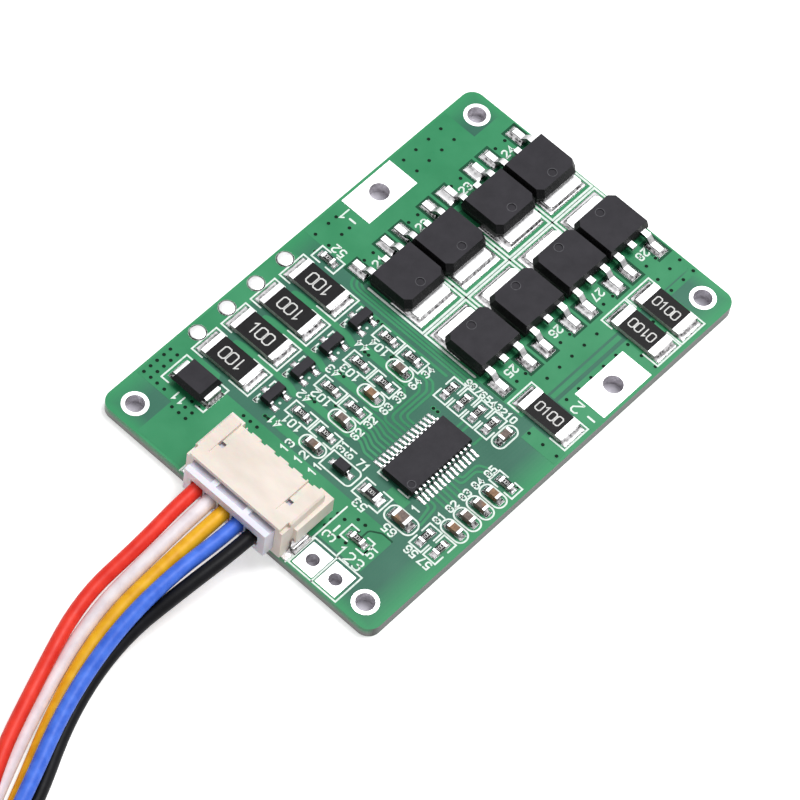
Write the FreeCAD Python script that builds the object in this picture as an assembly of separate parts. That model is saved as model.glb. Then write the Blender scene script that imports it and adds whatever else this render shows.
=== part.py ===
import FreeCAD, Part
import math
import os

os.makedirs("parts", exist_ok=True)
Vector = FreeCAD.Vector

# Battery management board. Millimetres, X along the board, Y across it, Z up.
# The origin is the middle of the board, on the underside of its tinned lands.

# Board
laminate_thickness = 1.55
land_thickness = 0.05
board_corner_radius = 1.6
mask_gap = 0.05

# Plated holes, their walls tinned with a layer of solder
plating = 0.17
mounting_bore = 2.2
mounting_ring = 3.1
mounting_inset_x = 2.5
mounting_inset_y = 3.0
power_land_length = 7.9
power_land_width = 4.25
power_land_bore = 2.35
power_land_margin = 0.38
power_land_offset = 10.5
sensor_land_length = 3.4
sensor_land_width = 2.85
sensor_bore = 1.55
sensor_ring = 2.6
sensor_inset = 2.23
sensor_land_gap = 0.45
sensor_margin = 5.65

# Power transistors: moulded body, tab, two long leads and a cut stub
transistor_width = 6.5
transistor_length = 6.0
transistor_height = 2.3
transistor_draft = 0.22
transistor_corner_cut = 0.65
transistor_brow = 0.45
tab_width = 5.3
tab_thickness = 0.5
tab_reach = 1.15
tab_corner_cut = 0.35
tab_depth = 4.4
power_lead_pitch = 2.286
power_lead_width = 0.76
power_lead_thickness = 0.5
power_lead_exit = 1.05
power_lead_shoulder = 0.75
power_lead_drop = 0.7
power_lead_reach = 2.95
power_lead_bend = 0.34
stub_reach = 0.8
ejector_diameter = 1.1
ejector_depth = 0.1
ejector_offset = 1.6
transistor_gap = 0.67
# How far each transistor settled off its lands as the solder froze
transistor_drift = [(0.19, 0.2), (-0.19, 0.2), (0.47, -0.2), (0.1, -0.2),
                    (0.09, 0), (0.24, 0.05), (0.28, 0.1), (-0.06, 0)]
tab_land_width = 6.0
tab_land_reach = 1.75
tab_land_depth = 4.6
lead_land_width = 1.55
lead_land_length = 2.4
lead_land_reach = 3.27
row_gap = 1.2
power_land_gap = 2.32
shunt_gap = 1.16
board_edge_gap = 0.8
right_margin = 0.02

# Large chip resistors, length and width of their case
large_length = 6.35
large_width = 3.2
large_height = 0.6
balance_end = 0.68
shunt_end = 0.95
large_land_width = 3.3
large_land_overhang = 0.75
large_land_length = 1.7
termination = 0.06
shunt_offset = 2.3
shunt_pair_offset = 17.75
shunt_pair_gap = 0.9

# Small chips, two case sizes
small_length = 1.6
small_width = 0.8
small_end = 0.32
small_resistor_height = 0.45
small_capacitor_height = 0.8
small_land_overhang = 0.5
small_land_length = 0.95
small_land_width = 0.9
medium_length = 2.0
medium_width = 1.25
medium_end = 0.4
medium_resistor_height = 0.55
medium_capacitor_height = 0.9
medium_land_overhang = 0.6
medium_land_length = 1.15
medium_land_width = 1.35

# Balance channels: test land, balance resistor, three-leg transistor, two small resistors
channel_count = 4
channel_gap = 1.41
header_zone = 11.55
bus_gap = 1.31
test_land = 2.1
test_land_margin = 0.33
test_land_gap = 0.17
signal_gap = 0.7
signal_resistor_gap = 0.89
signal_row_gap = 0.96
signal_resistor_offset = 0.58
signal_capacitor_offset = 1.45

# Three-leg transistors
signal_body_length = 2.9
signal_body_width = 1.3
signal_body_height = 1.0
signal_standoff = 0.08
signal_span = 2.5
signal_lead_pitch = 0.95
signal_lead_width = 0.42
signal_lead_thickness = 0.13
signal_foot = 0.4
signal_land_length = 0.9
signal_land_width = 0.75
signal_land_overhang = 0.3

# Clamp diode, with leads folded under its body
clamp_length = 4.3
clamp_width = 3.6
clamp_height = 1.6
clamp_draft = 0.4
clamp_standoff = 0.1
clamp_lead_width = 2.2
clamp_lead_thickness = 0.2
clamp_lead_reach = 0.5
clamp_foot = 1.2
clamp_land_length = 1.9
clamp_land_width = 2.7
clamp_land_overhang = 0.35
clamp_offset = 2.6
clamp_margin = 5.95

# Switching diode
switch_length = 1.75
switch_width = 1.3
switch_height = 0.95
switch_lead_width = 0.35
switch_lead_thickness = 0.12
switch_span = 2.6
switch_foot = 0.35
switch_land_length = 0.8
switch_land_width = 0.75
switch_land_overhang = 0.3

# Control chip
controller_length = 9.7
controller_width = 4.4
controller_height = 1.0
controller_standoff = 0.1
controller_draft = 0.1
controller_span = 6.4
controller_pins_per_side = 14
controller_pitch = 0.65
controller_pin_width = 0.26
controller_pin_thickness = 0.15
controller_foot = 0.6
controller_dot = 0.95
controller_dot_depth = 0.06
controller_dot_inset = 0.8
controller_land_width = 0.38
controller_land_length = 1.4
controller_land_overhang = 0.55
controller_offset = 8.55

# Small parts round the control chip
bottom_row_count = 5
bottom_row_pitch = 2.06
bottom_row_margin = 0.93
bottom_row_gap = 3.1
bottom_row_offset = 4.1
side_column_count = 5
side_column_pitch = 2.03
side_column_inset = 1.77
left_column_offset = 1.0
left_pair_offset = 1.28
left_pair_gap = 1.15
left_pair_margin = 1.35
left_capacitor_gap = 1.2
left_resistor_gap = 1.15
left_diode_gap = 1.25
sense_resistor_gap = 1.15
sense_resistor_margin = 3.42
sensor_chip_inset = 7.4

# Header, five pins, lying on its side with its mouth over the board's edge
pin_count = 5
pin_pitch = 2.0
pin_size = 0.5
pin_height = 2.7
pin_reach = 4.6
pin_foot = 1.2
pin_bend = 0.35
header_height = 5.45
header_depth = 6.6
header_overhang = 0.2
header_wall = 0.6
header_side = 1.0
header_back = 1.35
header_chamfer = 0.2
window_length = 2.2
window_width = 0.8
window_opening = 0.8
latch_sink = 0.15
window_inset = 2.6
window_side = 0.65
window_groove = 0.5
wing_thickness = 0.5
wing_height = 2.5
wing_lift = 1.5
wing_ear = 1.0
ear_inset = 0.4
back_slot_width = 0.7
back_slot_depth = 0.25
wing_front = 1.9
nose_length = 1.35
nose_step = 0.4
tab_sheet = 0.25
tab_sheet_length = 2.6
tab_sheet_height = 1.9
tab_foot = 0.7
tab_land_size = 4.1
tab_land_across = 1.45
pin_land_length = 2.0
pin_land_width = 1.0

# Plug that sits in the header
plug_clearance = 0.05
plug_height = 3.7
plug_stand_out = 1.45
plug_lip = 0.7
plug_lip_height = 0.22
plug_rib_width = 0.75
plug_rib_spacing = 4.7
plug_cavity = 1.76
contact_wall = 0.2
contact_length = 2.3

# Wires, the loose twist they are coiled in, and their bare tinned tips
wire_diameter = 1.7
wire_start = 1.0
coil_outer_radius = 11.4
coil_x = -78.6
coil_y = -23.9
coil_entry_angle = 116
coil_entry_run = 5.0
coil_inward_angle = 160
coil_total_angle = 500
coil_gap = 0.1
twist_clearance = 0.02
tip_diameter = 1.1
tip_length = 2.4


def box(x_low, x_high, y_low, y_high, z_low, z_high):
    """Block between two corners."""
    corner = Vector(x_low, y_low, z_low)
    return Part.makeBox(x_high - x_low, y_high - y_low, z_high - z_low, corner)


def plate(x, y, length, width, z, thickness):
    """Flat plate centred on x, y."""
    corner = Vector(x - length / 2, y - width / 2, z)
    return Part.makeBox(length, width, thickness, corner)


def disc(x, y, diameter, z, thickness):
    """Flat disc centred on x, y."""
    return Part.makeCylinder(diameter / 2, thickness, Vector(x, y, z))


def placed(shape, x, y, z, turn=0):
    """Copy of a shape turned about its own Z axis and moved to its place."""
    copy = shape.copy()
    copy.rotate(Vector(0, 0, 0), Vector(0, 0, 1), turn)
    copy.translate(Vector(x, y, z))
    return copy


def save(node, shapes):
    """Write one node, one solid or a group of separate solids."""
    shape = shapes[0] if len(shapes) == 1 else Part.makeCompound(shapes)
    shape.exportStep("parts/" + node + ".step")


def polygon(points):
    """Closed wire through the points."""
    return Part.makePolygon(points + points[:1])


def moulded_block(length, width, bottom, top, draft, cut=0.0, brow=0.0):
    """Moulded body: widest at mid height, narrower at both faces.

    The low Y end can have cut corners and a deeper slope above mid height.
    """
    def outline(z, inset, end_inset):
        x = length / 2 - inset
        y_low = -width / 2 + end_inset
        y_high = width / 2 - inset
        points = [Vector(x, y_high, z), Vector(-x, y_high, z)]
        if cut:
            points += [Vector(-x, y_low + cut, z), Vector(-x + cut, y_low, z)]
            points += [Vector(x - cut, y_low, z), Vector(x, y_low + cut, z)]
        else:
            points += [Vector(-x, y_low, z), Vector(x, y_low, z)]
        return polygon(points)

    middle = (bottom + top) / 2
    sections = [outline(bottom, draft, draft), outline(middle, 0, 0)]
    sections.append(outline(top, draft, max(draft, brow)))
    return Part.makeLoft(sections, True, True)


def bent_edges(path, offset, bend):
    """Edges of a line beside a bent path, its corners rounded by the bend or sharp without one."""
    edges = []
    start = None
    for i in range(len(path) - 1):
        along = (path[i + 1] - path[i]).normalize()
        side = Vector(-along.z, 0, along.x)
        if start is None:
            start = path[0] + side * offset
        if i == len(path) - 2:
            edges.append(Part.LineSegment(start, path[-1] + side * offset).toShape())
            break
        onward = (path[i + 2] - path[i + 1]).normalize()
        next_side = Vector(-onward.z, 0, onward.x)
        if not bend:
            corner = path[i + 1] + (side + next_side) * (offset / (1 + side.dot(next_side)))
            edges.append(Part.LineSegment(start, corner).toShape())
            start = corner
            continue
        left = 1 if along.x * onward.z - along.z * onward.x > 0 else -1
        cut_back = bend * math.tan(along.getAngle(onward) / 2)
        centre = path[i + 1] - along * cut_back + side * (bend * left)
        radius = (bend - left * offset) * left
        first = centre - side * radius
        middle = centre - (side + next_side).normalize() * radius
        last = centre - next_side * radius
        edges.append(Part.LineSegment(start, first).toShape())
        edges.append(Part.Arc(first, middle, last).toShape())
        start = last
    return edges


def bent_strip(points, thickness, width, bend=0):
    """Strip of sheet metal bent along (x, z) points, centred on Y. Fine strips fold sharply."""
    path = [Vector(x, -width / 2, z) for x, z in points]
    outward = bent_edges(path, thickness / 2, bend)
    back = bent_edges(path[::-1], thickness / 2, bend)
    turn = outward[-1].Vertexes[-1].Point
    caps = [Part.LineSegment(turn, back[0].Vertexes[0].Point).toShape()]
    caps.append(Part.LineSegment(back[-1].Vertexes[-1].Point, outward[0].Vertexes[0].Point).toShape())
    outline = Part.Wire(outward + caps[:1] + back + caps[1:])
    return Part.Face(outline).extrude(Vector(0, width, 0))


def gull_lead(start, exit_height, knee, reach, foot, thickness, width, bend=0):
    """Lead along +Y: out of a body, down and out again to its foot at z = 0."""
    low = thickness / 2
    points = [(start, exit_height), (knee, exit_height), (reach - foot, low), (reach, low)]
    lead = bent_strip(points, thickness, width, bend)
    lead.rotate(Vector(0, 0, 0), Vector(0, 0, 1), 90)
    return lead


def chip(length, width, height, end):
    """Chip part along Y: body with a raised top, and two metal ends wrapped round it."""
    core_low = termination
    core_high = height - termination
    half = length / 2
    body = box(-width / 2, width / 2, -half + termination, half - termination, core_low, core_high)
    top = box(-width / 2, width / 2, -half + end, half - end, core_high, height)
    under = box(-width / 2, width / 2, -half + end, half - end, 0, core_low)
    body = body.fuse([top, under]).removeSplitter()
    ends = []
    for side in (-1, 1):
        block = box(-width / 2, width / 2, min(side * half, side * (half - end)),
                    max(side * half, side * (half - end)), 0, height)
        ends.append(block.cut(body))
    return body, ends


def chip_lands(length, overhang, land_length, land_width):
    """Two lands under a chip that lies along Y."""
    middle = length / 2 + overhang - land_length / 2
    low = plate(0, -middle, land_width, land_length, 0, land_thickness)
    high = plate(0, middle, land_width, land_length, 0, land_thickness)
    return [low, high]


# Layout across the board, from its top edge down
transistor_land_top = power_land_margin + power_land_width + power_land_gap
upper_row_depth = transistor_land_top + lead_land_reach + transistor_length / 2
upper_tab_depth = upper_row_depth + transistor_length / 2 + tab_land_reach
lower_row_depth = upper_tab_depth + row_gap + tab_land_reach + transistor_length / 2
lower_lead_depth = lower_row_depth + transistor_length / 2 + lead_land_reach
shunt_span = large_length + 2 * large_land_overhang
shunt_depth = lower_lead_depth + shunt_gap + shunt_span / 2
board_width = shunt_depth + shunt_span / 2 + board_edge_gap
top_edge = board_width / 2
upper_row_y = top_edge - upper_row_depth
lower_row_y = top_edge - lower_row_depth
shunt_y = top_edge - shunt_depth

# Layout along the board, from its left edge
transistor_pitch = transistor_width + transistor_gap
channel_pitch = large_width + channel_gap
power_zone_start = header_zone + channel_count * channel_pitch + bus_gap
board_length = power_zone_start + 4 * transistor_pitch + right_margin
left_edge = -board_length / 2
right_edge = board_length / 2
channel_x = [left_edge + header_zone + channel_pitch * (i + 0.5) for i in range(channel_count)]
power_zone_x = left_edge + power_zone_start
transistor_x = [power_zone_x + transistor_pitch * (i + 0.5) for i in range(4)]
power_land_x = power_zone_x + power_land_offset
power_land_y = top_edge - power_land_margin - power_land_width / 2

# Layout of the balance channels, from the top edge down
test_land_y = top_edge - test_land_margin - test_land / 2
balance_y = test_land_y - test_land / 2 - test_land_gap - shunt_span / 2
signal_half = signal_span / 2 + signal_land_overhang
signal_y = balance_y - shunt_span / 2 - signal_gap - signal_half
small_half = small_length / 2 + small_land_overhang
gate_resistor_y = signal_y - signal_half - signal_resistor_gap - small_half
filter_y = gate_resistor_y - 2 * small_half - signal_row_gap

# Layout round the control chip, from the bottom edge up
bottom_row_y = -top_edge + bottom_row_margin + small_half
controller_half = controller_span / 2 + controller_land_overhang
controller_x = left_edge + header_zone + controller_offset
controller_y = bottom_row_y + small_half + bottom_row_gap + controller_half
side_column_x = power_zone_x - bus_gap - side_column_inset
left_column_x = left_edge + header_zone + left_column_offset
left_pair_x = left_edge + header_zone + left_pair_offset
medium_half = medium_length / 2 + medium_land_overhang
switch_half = switch_span / 2 + switch_land_overhang
lower_pair_y = -top_edge + left_pair_margin + small_land_width / 2
upper_pair_y = lower_pair_y + small_land_width + left_pair_gap
left_capacitor_y = upper_pair_y + small_land_width / 2 + left_capacitor_gap + medium_half
left_resistor_y = left_capacitor_y + medium_half + left_resistor_gap + medium_half
left_diode_y = left_resistor_y + medium_half + left_diode_gap + switch_half
clamp_x = left_edge + header_zone - clamp_offset
clamp_y = top_edge - clamp_margin
sense_resistor_x = power_zone_x - sense_resistor_gap + small_land_width
sense_resistor_y = top_edge - sense_resistor_margin - small_half
sensor_x = left_edge + sensor_inset
sensor_low_y = -top_edge + sensor_margin + sensor_land_width / 2
sensor_high_y = sensor_low_y + sensor_land_width + sensor_land_gap
sensor_chip_x = left_edge + sensor_chip_inset
sensor_chip_y = (sensor_low_y + sensor_high_y) / 2

# Heights
board_bottom = land_thickness
board_top = board_bottom + laminate_thickness
seat = board_top + land_thickness

lands = []


def add_lands(shapes, x, y, turn=0):
    """Put the lands of one part on the top of the board."""
    for shape in shapes:
        lands.append(placed(shape, x, y, board_top, turn))


def plated_hole(x, y, bore, top_shape, bottom_shape):
    """Barrel through the board joined to its land on each side."""
    barrel = disc(x, y, bore + 2 * plating, 0, seat)
    hole = disc(x, y, bore, 0, seat)
    return barrel.fuse([top_shape, bottom_shape]).cut(hole).removeSplitter()


def mounting_points():
    """The four mounting holes' centres."""
    x = right_edge - mounting_inset_x
    y = top_edge - mounting_inset_y
    return [(side_x * x, side_y * y) for side_x in (-1, 1) for side_y in (-1, 1)]


def make_holes():
    """Rings and barrels of the mounting, power and sensor holes, and the drill for each."""
    holes = []
    drills = []
    for x, y in mounting_points():
        top = disc(x, y, mounting_ring, board_top, land_thickness)
        bottom = disc(x, y, mounting_ring, 0, land_thickness)
        holes.append(plated_hole(x, y, mounting_bore, top, bottom))
        drills.append((x, y, mounting_bore))
    for y in (power_land_y, -power_land_y):
        top = plate(power_land_x, y, power_land_length, power_land_width, board_top, land_thickness)
        bottom = plate(power_land_x, y, power_land_length, power_land_width, 0, land_thickness)
        holes.append(plated_hole(power_land_x, y, power_land_bore, top, bottom))
        drills.append((power_land_x, y, power_land_bore))
    for y in (sensor_low_y, sensor_high_y):
        top = plate(sensor_x, y, sensor_land_length, sensor_land_width, board_top, land_thickness)
        bottom = disc(sensor_x, y, sensor_ring, 0, land_thickness)
        holes.append(plated_hole(sensor_x, y, sensor_bore, top, bottom))
        drills.append((sensor_x, y, sensor_bore))
    return holes, drills


def make_board(drills):
    """Laminate with rounded corners and its drilled holes."""
    blank = plate(0, 0, board_length, board_width, board_bottom, laminate_thickness)
    upright = [e for e in blank.Edges if abs(e.tangentAt(e.FirstParameter).z) > 0.9]
    board = blank.makeFillet(board_corner_radius, upright)
    cutters = [disc(x, y, bore + 2 * plating, 0, seat) for x, y, bore in drills]
    return board.cut(Part.makeCompound(cutters))


def power_transistor():
    """Power transistor with its tab at the low Y end, seated on z = 0."""
    body = moulded_block(transistor_width, transistor_length, 0, transistor_height,
                         transistor_draft, transistor_corner_cut, transistor_brow)
    end = transistor_length / 2
    tab_low = -end - tab_reach
    tab = box(-tab_width / 2, tab_width / 2, tab_low, tab_low + tab_depth, 0, tab_thickness)
    corners = [e for e in tab.Edges if abs(e.tangentAt(e.FirstParameter).z) > 0.9
               and e.CenterOfMass.y < tab_low + tab_corner_cut]
    tab = tab.makeChamfer(tab_corner_cut, corners)
    start = end - 2 * transistor_draft
    knee = end + power_lead_shoulder
    reach = end + power_lead_reach
    foot = power_lead_reach - power_lead_shoulder - power_lead_drop
    lead = gull_lead(start, power_lead_exit, knee, reach, foot,
                     power_lead_thickness, power_lead_width, power_lead_bend)
    stub_low = power_lead_exit - power_lead_thickness / 2
    stub = box(-power_lead_width / 2, power_lead_width / 2, start, end + stub_reach,
               stub_low, stub_low + power_lead_thickness)
    leads = [tab, placed(lead, -power_lead_pitch, 0, 0), placed(lead, power_lead_pitch, 0, 0), stub]
    mark = disc(0, -ejector_offset, ejector_diameter, transistor_height - ejector_depth, ejector_depth)
    body = body.cut(Part.makeCompound(leads + [mark]))
    return body, leads


def power_transistor_lands():
    """Lands under one power transistor."""
    end = transistor_length / 2
    tab_y = -end - tab_land_reach + tab_land_depth / 2
    lead_y = end + lead_land_reach - lead_land_length / 2
    shapes = [plate(0, tab_y, tab_land_width, tab_land_depth, 0, land_thickness)]
    for x in (-power_lead_pitch, power_lead_pitch):
        shapes.append(plate(x, lead_y, lead_land_width, lead_land_length, 0, land_thickness))
    return shapes


def make_power_transistors():
    """Two rows of four, tabs towards each other."""
    body, leads = power_transistor()
    shapes = power_transistor_lands()
    for row, (y, turn) in enumerate(((upper_row_y, 0), (lower_row_y, 180))):
        for column, x in enumerate(transistor_x):
            number = row * 4 + column
            node = "power_transistor_%d" % (number + 1)
            own_x = x + transistor_drift[number][0]
            own_y = y + transistor_drift[number][1]
            save(node + "_body", [placed(body, own_x, own_y, seat, turn)])
            save(node + "_leads", [placed(lead, own_x, own_y, seat, turn) for lead in leads])
            add_lands(shapes, x, y, turn)


def make_large_resistors():
    """Balance resistors above the channels, sense resistors at the bottom edge."""
    shapes = chip_lands(large_length, large_land_overhang, large_land_length, large_land_width)
    first = power_zone_x + shunt_offset
    second = power_zone_x + shunt_pair_offset
    third = second + large_width + shunt_pair_gap
    groups = [("balance_resistor", balance_end, [(x, balance_y) for x in channel_x])]
    groups.append(("sense_resistor", shunt_end, [(x, shunt_y) for x in (first, second, third)]))
    for name, end, places in groups:
        body, ends = chip(large_length, large_width, large_height, end)
        for i, (x, y) in enumerate(places):
            node = "%s_%d" % (name, i + 1)
            save(node + "_body", [placed(body, x, y, seat)])
            save(node + "_ends", [placed(piece, x, y, seat) for piece in ends])
            add_lands(shapes, x, y)


def three_leg_transistor():
    """Small transistor: two legs at low Y, one at high Y."""
    top = signal_standoff + signal_body_height
    middle = signal_standoff + signal_body_height / 2
    body = moulded_block(signal_body_length, signal_body_width, signal_standoff, top,
                         signal_body_width / 12)
    half = signal_body_width / 2
    reach = signal_span / 2
    knee = (half + reach - signal_foot) / 2
    lead = gull_lead(half - signal_lead_width / 2, middle, knee, reach, signal_foot,
                     signal_lead_thickness, signal_lead_width)
    leads = [placed(lead, 0, 0, 0)]
    leads += [placed(lead, x, 0, 0, 180) for x in (-signal_lead_pitch, signal_lead_pitch)]
    return body.cut(Part.makeCompound(leads)), leads


def make_three_leg_transistors():
    """One under each balance resistor, and the test land above it."""
    body, leads = three_leg_transistor()
    land_y = signal_half - signal_land_length / 2
    all_leads = []
    for i, x in enumerate(channel_x):
        save("channel_transistor_%d_body" % (i + 1), [placed(body, x, signal_y, seat)])
        all_leads += [placed(lead, x, signal_y, seat) for lead in leads]
        places = [(0, land_y), (-signal_lead_pitch, -land_y), (signal_lead_pitch, -land_y)]
        shapes = [plate(a, b, signal_land_width, signal_land_length, 0, land_thickness)
                  for a, b in places]
        add_lands(shapes, x, signal_y)
        add_lands([disc(0, 0, test_land, 0, land_thickness)], x, test_land_y)
    save("channel_transistor_leads", all_leads)


def make_clamp_diode():
    """Large clamp diode along Y, leads folded down and under."""
    top = clamp_standoff + clamp_height
    middle = (clamp_standoff + top) / 2
    body = moulded_block(clamp_width, clamp_length, clamp_standoff, top, clamp_draft)
    reach = clamp_length / 2 + clamp_lead_reach
    low = clamp_lead_thickness / 2
    outer = reach - low
    points = [(clamp_length / 2 - clamp_draft, middle), (outer, middle), (outer, low),
              (reach - clamp_foot, low)]
    lead = bent_strip(points, clamp_lead_thickness, clamp_lead_width, clamp_lead_thickness)
    leads = [placed(lead, 0, 0, 0, 90), placed(lead, 0, 0, 0, -90)]
    body = body.cut(Part.makeCompound(leads))
    save("clamp_diode_body", [placed(body, clamp_x, clamp_y, seat)])
    save("clamp_diode_leads", [placed(piece, clamp_x, clamp_y, seat) for piece in leads])
    add_lands(chip_lands(2 * reach, clamp_land_overhang, clamp_land_length, clamp_land_width),
              clamp_x, clamp_y)


def make_switching_diode():
    """Small diode along Y with a flat lead at each end."""
    top = signal_standoff + switch_height
    middle = signal_standoff + switch_height / 2
    body = moulded_block(switch_width, switch_length, signal_standoff, top, switch_width / 14)
    half = switch_length / 2
    reach = switch_span / 2
    knee = (half + reach - switch_foot) / 2
    lead = gull_lead(half - switch_lead_width / 2, middle, knee, reach, switch_foot,
                     switch_lead_thickness, switch_lead_width)
    leads = [placed(lead, 0, 0, 0), placed(lead, 0, 0, 0, 180)]
    body = body.cut(Part.makeCompound(leads))
    save("switching_diode_body", [placed(body, left_column_x, left_diode_y, seat)])
    save("switching_diode_leads", [placed(p, left_column_x, left_diode_y, seat) for p in leads])
    add_lands(chip_lands(switch_span, switch_land_overhang, switch_land_length, switch_land_width),
              left_column_x, left_diode_y)


def make_controller():
    """Control chip: a row of fine gull-wing pins along each long side."""
    top = controller_standoff + controller_height
    middle = controller_standoff + controller_height / 2
    body = moulded_block(controller_length, controller_width, controller_standoff, top,
                         controller_draft)
    half = controller_width / 2
    reach = controller_span / 2
    knee = half + (reach - controller_foot - half) / 2
    pin = gull_lead(half - controller_pin_width / 2, middle, knee, reach, controller_foot,
                    controller_pin_thickness, controller_pin_width)
    first = -controller_pitch * (controller_pins_per_side - 1) / 2
    columns = [first + controller_pitch * i for i in range(controller_pins_per_side)]
    pins = [placed(pin, x, 0, 0) for x in columns] + [placed(pin, x, 0, 0, 180) for x in columns]
    dot_x = -controller_length / 2 + controller_dot_inset
    dot_y = -half + controller_dot_inset
    dot = disc(dot_x, dot_y, controller_dot, top - controller_dot_depth, controller_dot_depth)
    body = body.cut(Part.makeCompound(pins + [dot]))
    save("controller_body", [placed(body, controller_x, controller_y, seat)])
    save("controller_pins", [placed(p, controller_x, controller_y, seat) for p in pins])
    shapes = chip_lands(controller_span, controller_land_overhang, controller_land_length,
                        controller_land_width)
    for x in columns:
        add_lands(shapes, controller_x + x, controller_y)


def make_small_chips():
    """All small chip resistors and capacitors, each kind as one group."""
    resistors = []
    capacitors = []
    for x in channel_x:
        resistors.append((x + signal_resistor_offset, gate_resistor_y, 0))
        resistors.append((x + signal_resistor_offset, filter_y, 0))
        capacitors.append((x - signal_capacitor_offset, filter_y, 0))
    for i in range(bottom_row_count):
        place = (left_edge + header_zone + bottom_row_offset + i * bottom_row_pitch, bottom_row_y, 0)
        (resistors if i == bottom_row_count - 1 else capacitors).append(place)
    for i in range(side_column_count):
        drop = (i - (side_column_count - 1) / 2) * side_column_pitch
        place = (side_column_x, controller_y - drop, 90)
        (capacitors if i == side_column_count - 1 else resistors).append(place)
    resistors += [(left_pair_x, lower_pair_y, 90), (left_pair_x, upper_pair_y, 90)]
    resistors.append((sense_resistor_x, sense_resistor_y, 0))
    resistors.append((sensor_chip_x, sensor_chip_y, 0))
    small_lands = chip_lands(small_length, small_land_overhang, small_land_length, small_land_width)
    medium_lands = chip_lands(medium_length, medium_land_overhang, medium_land_length,
                              medium_land_width)
    groups = [("chip_resistor", resistors, small_resistor_height, medium_resistor_height,
               left_resistor_y)]
    groups.append(("chip_capacitor", capacitors, small_capacitor_height,
                   medium_capacitor_height, left_capacitor_y))
    for name, places, height, medium_height, medium_y in groups:
        body, ends = chip(small_length, small_width, height, small_end)
        bodies = [placed(body, x, y, seat, turn) for x, y, turn in places]
        metal = [placed(piece, x, y, seat, turn) for x, y, turn in places for piece in ends]
        for x, y, turn in places:
            add_lands(small_lands, x, y, turn)
        body, ends = chip(medium_length, medium_width, medium_height, medium_end)
        bodies.append(placed(body, left_column_x, medium_y, seat))
        metal += [placed(piece, left_column_x, medium_y, seat) for piece in ends]
        add_lands(medium_lands, left_column_x, medium_y)
        save(name + "_bodies", bodies)
        save(name + "_ends", metal)


# Header and plug
header_front = left_edge - header_overhang
header_rear = header_front + header_depth
header_top = seat + header_height
pin_axis = seat + pin_height
pin_y = [pin_pitch * (i - (pin_count - 1) / 2) for i in range(pin_count)]
plug_half = pin_pitch * (pin_count - 1) / 2 + 1.9
cavity_half = plug_half + plug_clearance
header_half = cavity_half + header_side
cavity_rear = header_rear - header_back
plug_low = pin_axis - plug_height / 2
plug_high = pin_axis + plug_height / 2
plug_front = header_front - plug_stand_out
plug_rear = cavity_rear - plug_clearance
window_y = cavity_half - window_side - window_width


def both_sides(shape):
    """The shape and its mirror image across the XZ plane."""
    return [shape, shape.mirror(Vector(0, 0, 0), Vector(0, 1, 0))]


def header_tab():
    """Solder tab: upright sheet beside the housing, its foot turned outwards."""
    x_low = header_front + wing_front - nose_step
    upright = box(x_low, x_low + tab_sheet_length, header_half, header_half + tab_sheet,
                  seat, seat + tab_sheet_height)
    foot = box(x_low, x_low + tab_sheet_length, header_half, header_half + tab_sheet + tab_foot,
               seat, seat + tab_sheet)
    return upright.fuse(foot).removeSplitter()


def back_slot(y):
    """Upright slot in the housing's back, over one pin."""
    return box(header_rear - back_slot_depth, header_rear, y - back_slot_width / 2,
               y + back_slot_width / 2, seat, header_top)


def make_header():
    """Housing with its cavity, sunk latches and side wings, with pins and tabs."""
    body = box(header_front, header_rear, -header_half, header_half, seat, header_top)
    long_edges = [e for e in body.Edges if abs(e.tangentAt(e.FirstParameter).x) > 0.9
                  and e.CenterOfMass.z > header_top - header_wall]
    body = body.makeChamfer(header_chamfer, long_edges)
    cavity = box(header_front, cavity_rear, -cavity_half, cavity_half,
                 plug_low - plug_clearance, header_top - header_wall)
    wing_low = seat + wing_lift
    wing = box(header_front + wing_front, header_rear + wing_ear, header_half,
               header_half + wing_thickness, wing_low, wing_low + wing_height)
    ear = box(header_rear, header_rear + wing_ear, cavity_half - ear_inset,
              header_half + wing_thickness, wing_low, wing_low + wing_height)
    window_rear = cavity_rear - window_inset + window_length / 2
    window = box(window_rear - window_opening, window_rear, window_y, window_y + window_width,
                 header_top - header_wall, header_top)
    latch = box(window_rear - window_length, window_rear, window_y, window_y + window_width,
                header_top - latch_sink, header_top)
    groove = box(window_rear, header_rear, window_y, window_y + window_width,
                 header_top - window_groove, header_top)
    nose = box(header_front, header_front + nose_length, header_half - nose_step, header_half,
               header_top - header_wall, header_top)
    tab = header_tab()
    adds = both_sides(wing) + both_sides(ear)
    cuts = both_sides(window) + both_sides(latch) + both_sides(groove) + both_sides(nose)
    cuts += both_sides(tab) + [back_slot(y) for y in pin_y]
    pins = header_pins()
    body = body.fuse(adds).cut(Part.makeCompound([cavity] + cuts + pins)).removeSplitter()
    save("header_housing", [body])
    save("header_pins", pins)
    save("header_tabs", both_sides(tab))
    across = header_half + wing_thickness - tab_land_across / 2 + tab_sheet
    along = header_front + header_overhang + mask_gap + tab_land_size / 2
    for y in (-across, across):
        add_lands([plate(0, 0, tab_land_size, tab_land_across, 0, land_thickness)], along, y)
    for y in pin_y:
        add_lands([plate(0, 0, pin_land_length, pin_land_width, 0, land_thickness)],
                  header_rear + pin_land_length / 2, y)


def header_pins():
    """Square pins: straight into the cavity, down behind the housing and out to a foot."""
    drop_x = header_rear + pin_size
    low = seat + pin_size / 2
    points = [(cavity_rear - pin_reach, pin_axis), (drop_x, pin_axis), (drop_x, low),
              (drop_x + pin_foot, low)]
    pin = bent_strip(points, pin_size, pin_size, pin_bend)
    return [placed(pin, 0, y, 0) for y in pin_y]


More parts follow.
